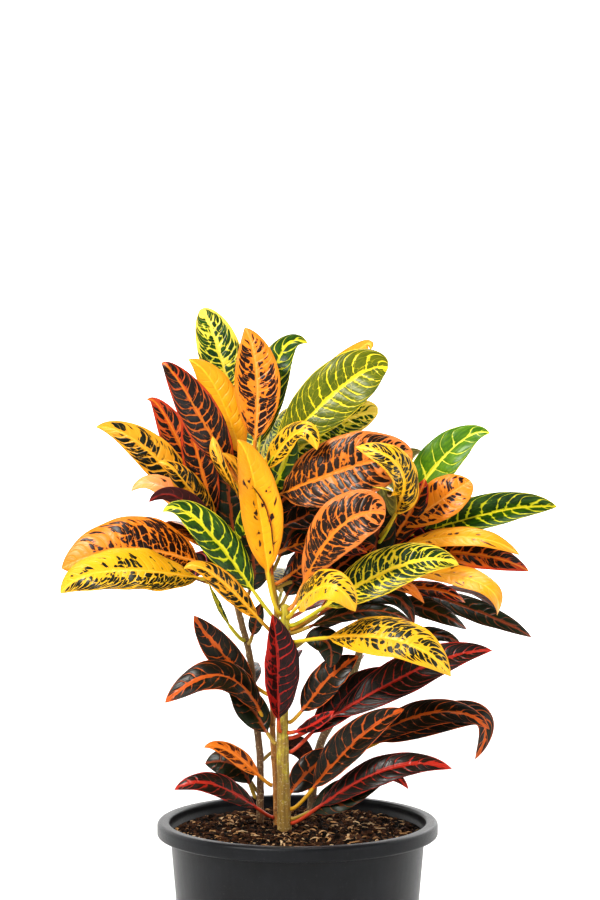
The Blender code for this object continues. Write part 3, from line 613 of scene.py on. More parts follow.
def facing(azimuth, elevation):
    # azimuth 0 is the front, 90 the right
    turn, rise = math.radians(azimuth), math.radians(elevation)
    return np.array((math.sin(turn) * math.cos(rise), -math.cos(turn) * math.cos(rise),
                     math.sin(rise)))


def leafCurve(stem, height, middle, tip):
    # fine points of the midrib, square off the stem at its start
    axis, centre = stemDirection(stem, height), stemPoint(stem, height)
    away = np.array(middle) - centre
    out = unit(away - axis * away.dot(axis))
    start = centre + out * (stemRadius(stem, height) + leafShape["stalkGap"])
    end = np.array(tip)
    lead = start + out * 0.10 * np.linalg.norm(end - start)
    m = leafShape["middleShare"]
    turn = (np.array(middle) - (1 - m) ** 3 * start - 3 * m * (1 - m) ** 2 * lead
            - m ** 3 * end) / (3 * m ** 2 * (1 - m))
    t = np.linspace(0, 1, leafShape["curveSteps"] + 1)[:, None]
    return ((1 - t) ** 3 * start + 3 * t * (1 - t) ** 2 * lead
            + 3 * t ** 2 * (1 - t) * turn + t ** 3 * end)


def smoothStep(value, low, high):
    share = np.clip((value - low) / (high - low), 0, 1)
    return share * share * (3 - 2 * share)


def leafSpine(curve, stalk, faces, twist):
    # sections from the stem to the tip: share of the length, place, and the ways across and up
    shape = leafShape
    steps = np.linalg.norm(np.diff(curve, axis=0), axis=1)
    run = np.concatenate(([0.0], np.cumsum(steps)))
    length = run[-1]
    shares = np.concatenate((np.linspace(0, stalk, shape["stalkRows"], endpoint=False),
                             stalk + (1 - stalk) * np.linspace(0, 1, shape["bladeRows"])))
    points = np.stack([np.interp(shares * length, run, curve[:, k]) for k in range(3)], 1)
    slopes = np.gradient(curve, run, axis=0)
    along = np.stack([np.interp(shares * length, run, slopes[:, k]) for k in range(3)], 1)
    along /= np.linalg.norm(along, axis=1)[:, None]
    up = facing(*faces) - along * (along @ facing(*faces))[:, None]
    up /= np.linalg.norm(up, axis=1)[:, None]
    side = np.cross(along, up)
    roll = np.radians(twist) * shares[:, None]
    side, up = side * np.cos(roll) + up * np.sin(roll), up * np.cos(roll) - side * np.sin(roll)
    return shares, length, points, side, up


def bladeHalf(width, u, own):
    # half the blade's width at a share u of its length
    widest = own["rise"] / (own["rise"] + own["fall"])
    most = widest ** own["rise"] * (1 - widest) ** own["fall"]
    return 0.5 * np.maximum(leafShape["tipWidth"],
                            width * u ** own["rise"] * (1 - u) ** own["fall"] / most)


def veinPhase(rng, look, u, v, bladeLength):
    # a whole number on each side vein: they sweep forward, wander and alternate left and right
    count = max(5, round(bladeLength * looks[look]["veins"]))
    offset = rng.uniform(0, 1)
    out = np.abs(v)
    wobble = 0.16 * np.sin(u * 17 + offset * 40 + v * 1.5) + 0.07 * np.sin(u * 41 - v * 2.6)
    bend = 0.06 * out + 0.05 * out ** 3 + 0.10 * out ** 8
    return (u - bend) * count + wobble + np.where(v > 0, 0.45, 0) + offset


def bladeSection(rng, own, fold, width, u, v, half, vein):
    # offset across, and the heights of the upper and the lower skin
    shape = leafShape
    out = np.abs(v)
    wedge = np.abs(vein % 1 - 0.5) * 2
    body = np.clip(half / (0.5 * width), 0, 1)
    bulge = (1 - wedge ** 2.2) * np.sin(np.pi * np.clip(out, 0, 1)) ** 0.7 * shape["quilt"] * body
    ripple = (np.sin(u * rng.uniform(9, 15) + rng.uniform(0, 6) + v * 0.9)
              + 0.5 * np.sin(u * 27 + rng.uniform(0, 6) - v * 2.0))
    lift = (np.sin(math.radians(fold)) * out - shape["curl"] * v ** 2
            + shape["wave"] * own["wave"] * ripple * v ** 2 + bulge) * half
    fromRib = out * half
    groove = shape["grooveDepth"] * np.exp(-(fromRib / shape["ribRadius"]) ** 2) * (1 - 0.7 * u)
    rib = shape["ribDepth"] * np.exp(-(fromRib / shape["ribRadius"]) ** 2) * (1 - 0.75 * u)
    thick = shape["halfThickness"] * (1 - 0.6 * out ** 3)
    flat = v * half * math.cos(math.radians(fold))
    return flat, lift + thick - groove * 0.6, lift - thick - rib


def leafAtlas(shares, across):
    # lays upper side, margin, lower side and margin side by side, true to their widths
    rim = 0.02
    sizes = np.abs(np.diff(across))
    sizes = np.concatenate((sizes, [rim], sizes[::-1], [rim]))
    rounds = np.concatenate(([0.0], np.cumsum(sizes) / sizes.sum()))
    return gridAtlas(list(shares), list(rounds))


def makeLeaf(name, look, stem, height, middle, tip, width, faces, fold, twist, stalk, own=None):
    own = {"more": 0.0, "tilt": 0.0, "fade": 0.0, "wave": 1.0, "rise": leafShape["rise"],
           "fall": leafShape["fall"], **(own or {})}
    shape = leafShape
    rng = random.Random(name)
    curve = leafCurve(stem, height, middle, tip)
    shares, length, points, side, up = leafSpine(curve, stalk, faces, twist)
    stops = np.array(shape["acrossStops"])
    across = np.concatenate((-stops[:0:-1], stops))
    u = np.clip((shares - stalk) / (1 - stalk), 0, 1)[:, None]
    v = across[None, :]
    half = bladeHalf(width, u, own)
    vein = veinPhase(rng, look, u, v, length * (1 - stalk))
    flat, topZ, lowZ = bladeSection(rng, own, fold, width, u, v, half, vein)

    # the round stalk opens into the blade
    angleTop = np.pi * (1 - (across + 1) / 2)
    radius = shape["stalkRadius"] + (shape["stalkFoot"] - shape["stalkRadius"]) * np.exp(
        -shares * length / 0.004)[:, None]
    opened = smoothStep(shares, stalk * 0.90 - 0.001, stalk + 0.06)[:, None]
    roundX, roundTop = np.cos(angleTop)[None, :] * radius, np.sin(angleTop)[None, :] * radius
    flatX = roundX * (1 - opened) + flat * opened
    topZ = roundTop * (1 - opened) + topZ * opened
    lowZ = -roundTop * (1 - opened) + lowZ * opened
    top = points[:, None, :] + side[:, None, :] * flatX[..., None] + up[:, None, :] * topZ[..., None]
    low = points[:, None, :] + side[:, None, :] * flatX[..., None] + up[:, None, :] * lowZ[..., None]
    # the bottom starts and ends beside the margin, so that the ring has no doubled point
    low[:, 0] = top[:, 0] * 0.5 + low[:, 0] * 0.5 - up * 0.00012
    low[:, -1] = top[:, -1] * 0.5 + low[:, -1] * 0.5 - up * 0.00012
    ringPoints = np.concatenate((top, low[:, ::-1]), 1)
    rows, ring = ringPoints.shape[:2]

    def spread(values):
        whole = np.broadcast_to(values, (rows, len(across)))
        return np.concatenate((whole, whole[:, ::-1]), 1).ravel()

    bladeShare = np.where(shares < stalk, (shares - stalk) / stalk, u[:, 0])[:, None]
    isTop = np.concatenate((np.ones(len(across)), np.zeros(len(across))))
    attributes = {
        "along": spread(bladeShare), "across": spread(v), "reach": spread(half),
        "vein": spread(vein + 20), "upper": np.tile(isTop, rows),
        "seed": np.full(rows * ring, rng.uniform(0, 40)),
        "more": spread(own["more"] + own["tilt"] * v + own["fade"] * (0.5 - u))}
    verts = ringPoints.reshape(-1, 3).tolist()
    piece = addPiece(name, verts, gridFaces(rows, ring), leafPaints[look], attributes,
                     leafAtlas(shares, across))
    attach(piece, "root")
    return piece


def camelName(node):
    first, *rest = node.split("_")
    return first + "".join(word.capitalize() for word in rest)


for node, *row in leafRows:
    leaf = makeLeaf(camelName(node), *row)
    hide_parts(node)
print("leaves", len(leafRows))

# small and far-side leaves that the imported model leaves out; same columns, name first
extraRows = (
    ("smallLeaf1", "moss", "leftStem", 0.414, (-0.043, -0.006, 0.432), (-0.036, -0.010, 0.457),
     0.015, (0, 20), 12, 0, 0.30),
    ("smallLeaf2", "green", "leftStem", 0.418, (-0.074, -0.010, 0.444), (-0.088, -0.018, 0.478),
     0.012, (70, 10), 20, 0, 0.35),
    ("frontLeaf13", "moss", "frontStem", 0.430, (0.062, -0.014, 0.468), (0.100, -0.010, 0.460),
     0.022, (0, 45), 12, 0, 0.25),
    ("rightLeaf11", "speckle", "rightStem", 0.512, (0.098, -0.020, 0.556), (0.060, -0.040, 0.574),
     0.026, (0, 60), 12, 0, 0.40),
    ("lowLeaf10", "dusk", "rightStem", 0.284, (0.150, 0.040, 0.336), (0.181, 0.036, 0.294),
     0.030, (35, 20), 14, 0, 0.30),
    ("lowLeaf11", "garnet", "rightStem", 0.250, (0.068, 0.036, 0.277), (0.112, 0.022, 0.266),
     0.018, (0, 45), 12, 0, 0.25),
    ("lowLeaf12", "moss", "leftStem", 0.296, (-0.012, 0.050, 0.306), (0.016, 0.058, 0.282),
     0.030, (180, 40), 12, 0, 0.20),
    ("lowLeaf13", "moss", "leftStem", 0.264, (-0.062, 0.046, 0.288), (-0.086, 0.056, 0.284),
     0.024, (180, 40), 12, 0, 0.20),
    ("lowLeaf14", "wine", "frontStem", 0.330, (0.012, -0.036, 0.338), (0.036, -0.042, 0.354),
     0.016, (0, 40), 16, 0, 0.15),
    ("lowLeaf15", "moss", "rightStem", 0.404, (0.120, 0.030, 0.420), (0.166, 0.026, 0.410),
     0.020, (0, 45), 12, 0, 0.25),
    ("lowLeaf16", "garnet", "frontStem", 0.310, (0.046, -0.016, 0.360), (0.108, -0.006, 0.384),
     0.036, (0, 30), 12, 0, 0.20),
    ("lowLeaf17", "moss", "frontStem", 0.318, (-0.042, -0.010, 0.346), (-0.070, -0.010, 0.374),
     0.032, (0, 30), 12, 0, 0.20),
    ("lowLeaf18", "moss", "leftStem", 0.258, (-0.056, 0.022, 0.284), (-0.094, 0.032, 0.290),
     0.036, (0, 35), 12, 0, 0.22),
    ("lowLeaf19", "dusk", "tallStem", 0.256, (0.008, 0.012, 0.282), (0.036, 0.020, 0.306),
     0.032, (0, 30), 12, 0, 0.20),
    ("lowLeaf20", "moss", "frontStem", 0.244, (0.040, -0.036, 0.268), (0.082, -0.044, 0.282),
     0.034, (0, 35), 12, 0, 0.22),
    ("innerLeaf1", "dusk", "tallStem", 0.520, (0.020, 0.014, 0.548), (0.086, 0.018, 0.560),
     0.044, (0, 35), 12, 0, 0.20),
    ("innerLeaf2", "ember", "tallStem", 0.500, (0.010, 0.004, 0.516), (0.070, 0.010, 0.506),
     0.040, (0, 45), 12, 0, 0.20),
    ("innerLeaf3", "moss", "tallStem", 0.508, (-0.092, 0.024, 0.548), (-0.120, 0.030, 0.584),
     0.036, (0, 30), 12, 0, 0.20),
    ("innerLeaf4", "speckle", "rightStem", 0.500, (0.052, 0.030, 0.552), (0.030, 0.034, 0.590),
     0.040, (0, 30), 12, 0, 0.20),
    ("innerLeaf5", "wine", "rightStem", 0.482, (0.030, 0.026, 0.500), (-0.012, 0.034, 0.486),
     0.036, (0, 45), 12, 0, 0.20),
    ("innerLeaf6", "moss", "leftStem", 0.452, (-0.044, 0.002, 0.486), (-0.052, 0.000, 0.532),
     0.036, (-5, 15), 12, 0, 0.22),
    ("innerLeaf7", "moss", "tallStem", 0.470, (0.008, 0.010, 0.478), (0.050, 0.016, 0.458),
     0.036, (0, 45), 12, 0, 0.22),
    ("innerLeaf8", "green", "tallStem", 0.540, (-0.016, -0.014, 0.590), (0.000, -0.020, 0.622),
     0.030, (10, 20), 12, 0, 0.20),
    ("innerLeaf9", "gold", "frontStem", 0.450, (-0.040, -0.026, 0.540), (-0.075, -0.030, 0.606),
     0.026, (50, 0), 20, 0, 0.30, dict(tilt=0.4)),
    ("innerLeaf10", "dusk", "frontStem", 0.446, (-0.028, -0.030, 0.520), (-0.052, -0.044, 0.578),
     0.022, (-50, 10), 20, 0, 0.30),
    ("innerLeaf11", "moss", "tallStem", 0.486, (-0.010, 0.014, 0.520), (0.022, 0.012, 0.564),
     0.042, (0, 20), 12, 0, 0.20),
    ("innerLeaf12", "ember", "tallStem", 0.474, (0.012, -0.004, 0.498), (0.050, -0.008, 0.524),
     0.038, (0, 30), 12, 0, 0.20),
    ("innerLeaf13", "green", "leftStem", 0.488, (-0.052, 0.000, 0.520), (-0.034, -0.004, 0.568),
     0.030, (10, 20), 12, 0, 0.25),
    ("innerLeaf14", "wine", "leftStem", 0.462, (-0.084, 0.006, 0.492), (-0.118, 0.004, 0.476),
     0.030, (0, 40), 12, 0, 0.20),
    ("innerLeaf15", "wine", "rightStem", 0.490, (0.112, 0.030, 0.522), (0.152, 0.026, 0.532),
     0.036, (0, 30), 12, 0, 0.20),
    ("innerLeaf16", "dusk", "rightStem", 0.486, (0.040, 0.022, 0.530), (0.004, 0.030, 0.548),
     0.044, (0, 30), 12, 0, 0.18),
    ("innerLeaf17", "moss", "tallStem", 0.452, (-0.004, 0.008, 0.474), (0.030, 0.006, 0.500),
     0.034, (0, 30), 12, 0, 0.20),
    ("innerLeaf18", "dusk", "tallStem", 0.530, (-0.010, 0.006, 0.566), (0.018, 0.002, 0.604),
     0.034, (0, 20), 12, 0, 0.20),
    ("innerLeaf19", "moss", "leftStem", 0.500, (-0.068, 0.008, 0.556), (-0.063, 0.008, 0.624),
     0.040, (-10, 10), 12, 0, 0.20),
    ("innerLeaf20", "ember", "rightStem", 0.500, (0.112, 0.022, 0.542), (0.128, 0.018, 0.580),
     0.030, (0, 25), 12, 0, 0.20),
    ("innerLeaf21", "moss", "rightStem", 0.470, (0.080, 0.030, 0.514), (0.090, 0.032, 0.556),
     0.038, (0, 20), 12, 0, 0.20),
    ("innerLeaf22", "dusk", "tallStem", 0.446, (0.036, 0.016, 0.486), (0.078, 0.014, 0.512),
     0.036, (0, 30), 12, 0, 0.20),
    ("backLeaf4", "lime", "tallStem", 0.580, (-0.006, 0.090, 0.640), (0.020, 0.158, 0.648),
     0.046, (165, 50), 12, 0, 0.15),
    ("backLeaf5", "ember", "tallStem", 0.564, (-0.100, 0.076, 0.596), (-0.138, 0.132, 0.596),
     0.044, (215, 50), 12, 0, 0.15),
    ("backLeaf6", "gold", "tallStem", 0.544, (-0.020, 0.104, 0.572), (-0.010, 0.186, 0.552),
     0.050, (180, 60), 12, 0, 0.18),
    ("backLeaf7", "coral", "leftStem", 0.508, (-0.110, 0.090, 0.530), (-0.136, 0.146, 0.516),
     0.044, (205, 55), 12, 0, 0.18),
    ("backLeaf8", "green", "leftStem", 0.500, (-0.066, 0.104, 0.536), (-0.068, 0.186, 0.516),
     0.048, (185, 60), 12, 0, 0.18),
    ("backLeaf9", "dusk", "leftStem", 0.470, (-0.150, 0.060, 0.486), (-0.208, 0.092, 0.466),
     0.040, (230, 55), 12, 0, 0.18),
    ("backLeaf10", "speckle", "tallStem", 0.452, (-0.010, 0.086, 0.480), (0.004, 0.160, 0.462),
     0.044, (180, 60), 12, 0, 0.20),
    ("backLeaf11", "wine", "tallStem", 0.436, (0.044, 0.096, 0.456), (0.078, 0.160, 0.432),
     0.042, (150, 60), 12, 0, 0.20),
    ("backLeaf12", "gold", "rightStem", 0.512, (0.150, 0.094, 0.548), (0.204, 0.134, 0.548),
     0.044, (130, 55), 12, 0, 0.18),
    ("backLeaf13", "orange", "rightStem", 0.504, (0.076, 0.124, 0.552), (0.070, 0.198, 0.546),
     0.048, (180, 60), 12, 0, 0.18),
    ("backLeaf14", "moss", "rightStem", 0.456, (0.150, 0.090, 0.464), (0.212, 0.124, 0.436),
     0.038, (130, 55), 12, 0, 0.20),
    ("backLeaf15", "dusk", "rightStem", 0.440, (0.062, 0.126, 0.452), (0.054, 0.200, 0.424),
     0.042, (175, 60), 12, 0, 0.20),
    ("backLeaf16", "wine", "rightStem", 0.372, (0.052, 0.124, 0.388), (0.056, 0.194, 0.362),
     0.040, (175, 60), 12, 0, 0.20),
    ("backLeaf17", "dusk", "leftStem", 0.356, (-0.056, 0.086, 0.380), (-0.070, 0.150, 0.366),
     0.038, (190, 60), 12, 0, 0.20),
    ("backLeaf18", "garnet", "tallStem", 0.392, (-0.014, 0.080, 0.398), (-0.010, 0.146, 0.372),
     0.038, (180, 60), 12, 0, 0.20),
    ("backLeaf19", "wine", "rightStem", 0.262, (0.052, 0.116, 0.286), (0.072, 0.170, 0.282),
     0.034, (160, 60), 12, 0, 0.20),
    ("backLeaf20", "coral", "tallStem", 0.530, (-0.050, 0.070, 0.576), (-0.075, 0.130, 0.600),
     0.046, (190, 30), 12, 0, 0.15),
    ("backLeaf21", "speckle", "rightStem", 0.520, (0.106, 0.085, 0.572), (0.130, 0.130, 0.606),
     0.044, (160, 30), 12, 0, 0.15),
    ("backLeaf22", "gold", "leftStem", 0.520, (-0.098, 0.066, 0.576), (-0.116, 0.110, 0.606),
     0.042, (200, 30), 12, 0, 0.15),
    ("backLeaf23", "wine", "rightStem", 0.472, (0.108, 0.112, 0.482), (0.146, 0.170, 0.470),
     0.042, (155, 50), 12, 0, 0.18),
    ("backLeaf24", "green", "tallStem", 0.560, (0.016, 0.080, 0.606), (0.052, 0.140, 0.622),
     0.048, (165, 35), 12, 0, 0.15),
)
for name, look, *row in extraRows:
    leaf = makeLeaf(name, look, *row)
print("further leaves", len(extraRows))

soilShape = dict(edge=0.1268, top=0.227, mound=0.006, rough=0.0022, rings=120, spokes=360,
                 bottom=0.004, lowEdge=0.1068, lumps=0.0024)


def soilHeight(radius, angle):
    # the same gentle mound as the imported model, before its finer lumps
    share = min(1.0, radius / soilShape["edge"])
    calm = min(1.0, 4 * (1 - share)) * share
    return (soilShape["top"] + soilShape["mound"] * (1 - share ** 2)
            + soilShape["rough"] * math.sin(5 * angle + 9 * share)
            * math.cos(3 * angle - 14 * share) * calm)


def soilLump(x, y, share):
    spot = Vector((x, y, 0.0))
    lump = (noise.noise(spot * 95) * 0.9 + noise.noise(spot * 260) * 0.5
            + noise.noise(spot * 620) * 0.35)
    return lump * soilShape["lumps"] * min(1.0, 6 * (1 - share) + 0.15)


def mixPaint():
    paint = Paint("potting-mix", 0.95, Specular_IOR_Level=0.1)
    place = paint.place()
    coarse = paint.noise(place, 150.0, 4.0, 0.65)
    fine = paint.noise(place, 640.0, 3.0, 0.7)
    grains = paint.add("TexVoronoi", {"feature": "F1"}, {"Vector": place, "Scale": 420.0}, "Color")
    pick = paint.add("SeparateColor", {}, {"Color": grains}, "Red")
    other = paint.add("SeparateColor", {}, {"Color": grains}, "Green")
    colour = paint.blend(coarse.between(0.35, 0.7), tone(9, 7, 5), tone(24, 17, 12))
    colour = paint.blend(pick.between(0.80, 0.86) * 0.8, colour, tone(92, 66, 44))
    colour = paint.blend(other.between(0.965, 0.985) * 0.8, colour, tone(176, 150, 116))
    return paint.finish(colour, coarse * 0.8 + fine * 0.5 + pick * 0.35, 0.0022)


def makeSoil():
    shape = soilShape
    verts, faces = [(0.0, 0.0, soilHeight(0, 0) + soilLump(0, 0, 0))], []
    for i in range(1, shape["rings"] + 1):
        share = i / shape["rings"]
        radius = shape["edge"] * share
        for j in range(shape["spokes"]):
            angle = math.tau * j / shape["spokes"]
            x, y = radius * math.cos(angle), radius * math.sin(angle)
            verts.append((x, y, soilHeight(radius, angle) + soilLump(x, y, share)))
    low = len(verts)
    for j in range(shape["spokes"]):
        angle = math.tau * j / shape["spokes"]
        verts.append((shape["lowEdge"] * math.cos(angle), shape["lowEdge"] * math.sin(angle),
                      shape["bottom"]))
    for j in range(shape["spokes"]):
        k = (j + 1) % shape["spokes"]
        faces.append((0, 1 + j, 1 + k))
        for i in range(shape["rings"] - 1):
            inner, outer = 1 + i * shape["spokes"], 1 + (i + 1) * shape["spokes"]
            faces.append((inner + j, outer + j, outer + k, inner + k))
        outer = 1 + (shape["rings"] - 1) * shape["spokes"]
        faces.append((outer + j, low + j, low + k, outer + k))
    faces.append(tuple(low + j for j in range(shape["spokes"] - 1, -1, -1)))
    piece = addPiece("soil", verts, faces, mixPaint())
    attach(piece, "root")
    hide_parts("soil")


makeSoil()

scatterLook = dict(shreds=820, crumbs=1900, longest=0.012, tan=tone(186, 142, 96),
                   pale=tone(216, 186, 146), brown=tone(72, 44, 26), dark=tone(11, 8, 6))


def freeSpot(rng, reach):
    # a place on the mix that no stem stands in
    while True:
        radius, angle = reach * math.sqrt(rng.random()), rng.uniform(0, math.tau)
        x, y = radius * math.cos(angle), radius * math.sin(angle)
        clear = all(math.hypot(x - foot[0][0], y - foot[0][1]) > rise + 0.003
                    for rise, _, foot in stemCourses.values())
        if clear:
            return x, y, radius, angle


def scatterPaint(name):
    # from dark crumb to pale bark by each piece's own hue
    paint = Paint(name, 0.85, Specular_IOR_Level=0.15)
    place = paint.place()
    hue = paint.attribute("hue")
    fibres = paint.noise(place, 900.0, 2.0, 0.6)
    look = scatterLook
    colour = paint.blend(hue.between(0.10, 0.40), look["dark"], look["brown"])
    colour = paint.blend(hue.between(0.45, 0.70), colour, look["tan"])
    colour = paint.blend(hue.between(0.80, 0.98), colour, look["pale"])
    colour = paint.blend(fibres.between(0.45, 0.75) * 0.6, colour, tone(64, 44, 30))
    return paint.finish(colour, fibres, 0.0006)


def makeScatter(name, count, build, seed):
    rng = random.Random(seed)
    verts, faces, hues = [], [], []
    for _ in range(count):
        x, y, radius, angle = freeSpot(rng, soilShape["edge"] - 0.007)
        share = radius / soilShape["edge"]
        ground = soilHeight(radius, angle) + soilLump(x, y, share)
        own, ownFaces, hue = build(rng)
        first = len(verts)
        turn = rng.uniform(0, math.tau)
        c, s = math.cos(turn), math.sin(turn)
        for px, py, pz in own:
            verts.append((x + px * c - py * s, y + px * s + py * c, ground + pz))
        faces += [tuple(first + k for k in face) for face in ownFaces]
        hues += [hue] * len(own)
    piece = addPiece(name, verts, faces, scatterPaint(name), {"hue": hues})
    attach(piece, "root")


def shred(rng):
    # flat curled sliver of bark, lying at a slight tilt
    length = rng.uniform(0.35, 1.0) ** 1.4 * scatterLook["longest"]
    width = rng.uniform(0.0010, 0.0028) * (0.6 + length / 0.02)
    thick = rng.uniform(0.0003, 0.0007)
    arch, bend = rng.uniform(-0.05, 0.22) * length, rng.uniform(-0.25, 0.25) * length
    tilt = rng.uniform(-0.28, 0.28)
    cup = rng.uniform(-0.3, 0.6) * width
    steps, across = 9, 4
    points = []
    for i in range(steps):
        t = i / (steps - 1)
        x = (t - 0.5) * length
        taper = 0.35 + 0.65 * math.sin(math.pi * min(max(t, 0.06), 0.94)) ** 0.5
        rough = rng.uniform(0.8, 1.2)
        for level in (1, -1):
            for j in range(across):
                v = (j / (across - 1) * 2 - 1) * level
                y = v * width * 0.5 * taper * rough + bend * (t - 0.5) ** 2 * 2
                z = (arch * (1 - (2 * t - 1) ** 2) - cup * v * v + x * tilt
                     + level * thick * 0.5 + 0.0006)
                points.append((x, y, z))
    return points, gridFaces(steps, across * 2), rng.uniform(0.25, 1.0)


def crumb(rng):
    # small rough lump, half sunk in the mix
    size = rng.uniform(0.0007, 0.0026)
    stretch = rng.uniform(0.7, 1.7)
    points = []
    for i in range(5):
        rise = math.pi * (i + 0.5) / 5
        for j in range(7):
            angle = math.tau * j / 7
            reach = size * rng.uniform(0.75, 1.2)
            points.append((reach * math.sin(rise) * math.cos(angle) * stretch,
                           reach * math.sin(rise) * math.sin(angle),
                           -reach * math.cos(rise) * 0.8 + size * 0.25))
    return points, gridFaces(5, 7), rng.uniform(0.0, 0.5)


makeScatter("barkShreds", scatterLook["shreds"], shred, 4)
makeScatter("darkCrumbs", scatterLook["crumbs"], crumb, 9)
print("potting mix")


potLook = dict(height=0.240, rim=0.140, rimInner=0.128, band=0.014, wallTop=0.127,
               wallFoot=0.107, wall=0.0025, floor=0.003, foot=0.004, neck=0.0022, lip=0.0020,
               shoulder=0.0042, mouth=0.0030, sides=288, drains=6, drainRadius=0.007,
               drainCircle=0.078, drainSides=32, dark=tone(13, 14, 17), pale=tone(24, 26, 30),
               dust=tone(110, 108, 104))


def arc(centre, radius, start, end, steps):
    # points round part of a circle, in radius and height
    return [(centre[0] + radius * math.cos(math.radians(start + (end - start) * k / steps)),
             centre[1] + radius * math.sin(math.radians(start + (end - start) * k / steps)))
            for k in range(steps + 1)]


def potOutline():
    # from the outer edge of the foot up, over the rim and down inside
    look = potLook
    foot, height = look["foot"], look["height"]
    slant = (look["wallTop"] - look["wallFoot"]) / (height - look["band"])
    points = arc((look["wallFoot"] - foot, foot), foot, -90, 0, 7)
    for k in range(1, 40):
        z = foot + (height - look["band"] - 0.004 - foot) * k / 39
        points.append((look["wallFoot"] + slant * z, z))
    under = height - look["band"]
    neck, lip, shoulder, mouth = look["neck"], look["lip"], look["shoulder"], look["mouth"]
    points += arc((look["wallTop"] + 0.002, under - neck), neck, 180, 90, 5)
    points += arc((look["rim"] - lip, under + lip), lip, -90, 0, 5)
    points += [(look["rim"], under + 0.004 + 0.0007 * k) for k in range(1, 8)]
    points += arc((look["rim"] - shoulder, height - shoulder), shoulder, 0, 90, 9)
    points += arc((look["rimInner"] + mouth, height - mouth), mouth, 90, 180, 7)
    inner = look["wallTop"] - look["wall"]
    points += [(look["rimInner"], height - 0.006), (look["rimInner"] - 0.0004, under + 0.003)]
    for k in range(0, 13):
        z = under - (under - look["floor"] - 0.003) * k / 12
        points.append((inner - slant * (under - z), z))
    return points


def plasticPaint():
    # moulded charcoal plastic: faint streaks down the wall and a little dust
    look = potLook
    paint = Paint("plastic", 0.33, Specular_IOR_Level=0.22)
    place = paint.place()
    patches = paint.noise(place, 26.0, 4.0, 0.6)
    streaks = paint.add("Mapping", {}, {"Vector": place, "Scale": (170, 170, 9)})
    streak = paint.noise(streaks, 1.0, 3.0, 0.6)
    grain = paint.noise(place, 1500.0, 2.0, 0.6)
    dust = paint.noise(place, 420.0, 3.0, 0.7).between(0.60, 0.78)
    colour = paint.blend(patches.between(0.3, 0.7) * 0.6 + streak.between(0.4, 0.8) * 0.3,
                         look["dark"], look["pale"])
    colour = paint.blend(dust * 0.12, colour, look["dust"])
    paint.plug(paint.shader, "Roughness",
               0.27 + patches * 0.10 + streak * 0.08 + dust * 0.15)
    return paint.finish(colour, grain * 0.6 + streak * 0.4, 0.00022)


def ringVerts(work, radius, sides, level, x=0.0, y=0.0):
    return [work.verts.new((x + radius * math.cos(math.tau * j / sides),
                            y + radius * math.sin(math.tau * j / sides), level))
            for j in range(sides)]


def potFloor(work, rows, innerFoot):
    # outer disc below, inner disc above, with round drain holes through both
    look = potLook
    sides, drainSides = look["sides"], look["drainSides"]
    circles = []
    for level in (0.0, look["floor"]):
        work.verts.ensure_lookup_table()
        row = rows - 1 if level else 0
        rimLoop = [work.verts[row * sides + j] for j in range(sides)]
        if level:
            # a short step from the inner wall down to the floor
            lower = ringVerts(work, innerFoot - 0.002, sides, level)
            for j in range(sides):
                k = (j + 1) % sides
                work.faces.new((rimLoop[j], rimLoop[k], lower[k], lower[j]))
            rimLoop = lower
        edges = [work.edges.get((rimLoop[j - 1], rimLoop[j])) or
                 work.edges.new((rimLoop[j - 1], rimLoop[j])) for j in range(sides)]
        loops = []
        for d in range(look["drains"]):
            turn = math.tau * d / look["drains"]
            x, y = look["drainCircle"] * math.cos(turn), look["drainCircle"] * math.sin(turn)
            loop = ringVerts(work, look["drainRadius"], drainSides, level, x, y)
            edges += [work.edges.new((loop[j - 1], loop[j])) for j in range(drainSides)]
            loops.append(loop)
        circles.append(loops)
        bmesh.ops.triangle_fill(work, use_beauty=True, use_dissolve=False, edges=edges,
                                normal=(0, 0, 1 if level else -1))
    for below, above in zip(*circles):
        for j in range(drainSides):
            k = (j + 1) % drainSides
            work.faces.new((below[j], below[k], above[k], above[j]))


def makePot():
    look = potLook
    outline = potOutline()
    verts, faces = [], []
    for radius, z in outline:
        for j in range(look["sides"]):
            angle = math.tau * j / look["sides"]
            verts.append((radius * math.cos(angle), radius * math.sin(angle), z))
    for i in range(len(outline) - 1):
        for j in range(look["sides"]):
            k = (j + 1) % look["sides"]
            low, high = i * look["sides"], (i + 1) * look["sides"]
            faces.append((low + j, low + k, high + k, high + j))
    piece = addPiece("pot", verts, faces, plasticPaint())
    work = bmesh.new()
    work.from_mesh(piece.data)
    potFloor(work, len(outline), outline[-1][0])
    bmesh.ops.recalc_face_normals(work, faces=work.faces)
    work.to_mesh(piece.data)
    work.free()
    piece.data.shade_smooth()
    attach(piece, "root")
    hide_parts("pot")


makePot()
print("pot")


floorShape = dict(flat=7.5, bend=2.0, top=8.0, spokes=96)


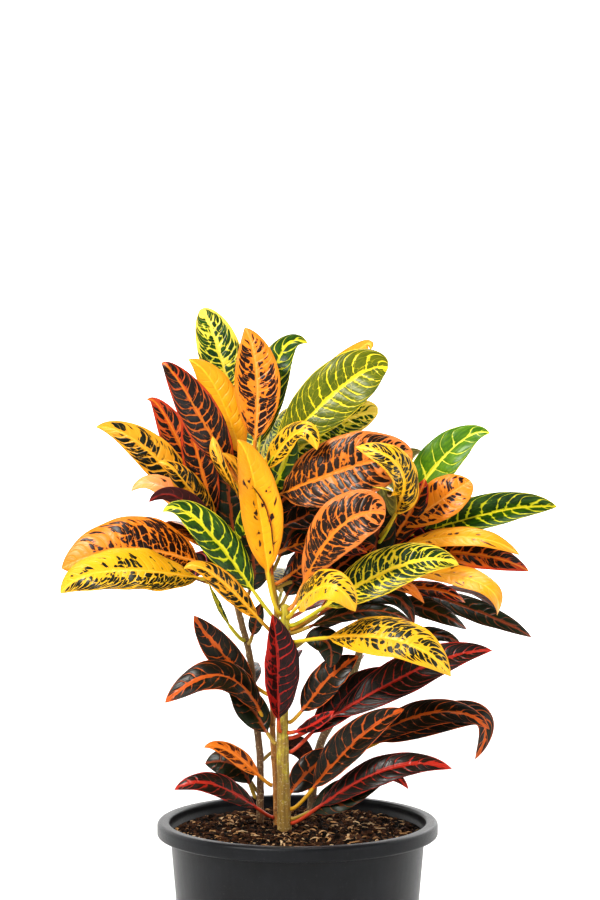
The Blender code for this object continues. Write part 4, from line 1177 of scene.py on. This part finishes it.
def makeFloor():
    # round pale floor that curves up far from the plant; the whole floor glows as painted light, dim
    # grey near the plant and near white far away behind it
    flat, bend, spokes = floorShape["flat"], floorShape["bend"], floorShape["spokes"]
    paint = Paint("floor", 0.75, Emission_Strength=0.95)
    place = paint.place()
    east = paint.add("SeparateXYZ", {}, {0: place}, 0)
    north = paint.add("SeparateXYZ", {}, {0: place}, 1)
    away = (east * east + north * north) ** 0.5
    # painted light: the floor's glow rises from dim grey near the plant to near white far away on the
    # far side
    far = away.between(0.8, 4.5) * north.between(-1.0, 1.5)
    paint.plug(paint.shader, "Emission Color",
               paint.blend(far, tone(112, 112, 112), tone(254, 254, 254)))
    grain = paint.noise(place, 60.0, 3.0, 0.5)
    material = paint.finish(paint.blend(grain * 0.04, tone(240, 239, 237), tone(228, 227, 225)))
    verts, faces = [(0.0, 0.0, 0.0)], []
    line = [(flat * k / 12, 0.0) for k in range(1, 13)]
    line += [(flat + bend * math.sin(math.radians(a)), bend - bend * math.cos(math.radians(a)))
             for a in range(6, 91, 6)]
    line.append((flat + bend, floorShape["top"]))
    for radius, z in line:
        for j in range(spokes):
            angle = math.tau * j / spokes
            verts.append((radius * math.cos(angle), radius * math.sin(angle), z))
    for j in range(spokes):
        k = (j + 1) % spokes
        faces.append((0, 1 + j, 1 + k))
        for i in range(len(line) - 1):
            inner, outer = 1 + i * spokes, 1 + (i + 1) * spokes
            faces.append((inner + j, outer + j, outer + k, inner + k))
    addPiece("floor", verts, faces, material)


def addLight(name, place, target, size, power, colour=(1, 1, 1)):
    data = bpy.data.lights.new(name, "AREA")
    data.shape = "DISK"
    data.size = size
    data.energy = power
    data.color = colour
    light = bpy.data.objects.new(name, data)
    light.location = place
    light.rotation_euler = (Vector(target) - Vector(place)).to_track_quat("-Z", "Y").to_euler()
    bpy.context.scene.collection.objects.link(light)


makeFloor()
addLight("key", (-1.3, -1.5, 2.2), (0, 0, 0.5), 0.6, 54, (1.0, 0.985, 0.96))
addLight("fill", (1.9, -1.4, 1.0), (0, 0, 0.45), 1.2, 9, (0.97, 0.985, 1.0))
addLight("top", (0.1, 0.3, 2.3), (0, 0, 0.4), 1.0, 22)
addLight("behind", (0.9, 1.5, 1.4), (0, 0, 0.5), 0.9, 12)

world = bpy.data.worlds.new("room")
world.use_nodes = True
world.node_tree.nodes["Background"].inputs["Color"].default_value = tone(244, 246, 250)
world.node_tree.nodes["Background"].inputs["Strength"].default_value = 0.25
scene = bpy.context.scene
scene.world = world
scene.view_settings.view_transform = "Standard"
scene.view_settings.look = "Medium High Contrast"

# camera square to the front, level with the leaves
cameraData = bpy.data.cameras.new("camera")
cameraData.lens = 76
cameraData.clip_end = 50
camera = bpy.data.objects.new("camera", cameraData)
camera.location = (0.0024, -1.900, 0.609)
camera.rotation_euler = (math.radians(90), 0, 0)
scene.collection.objects.link(camera)
scene.camera = camera

print("floor, light and camera")
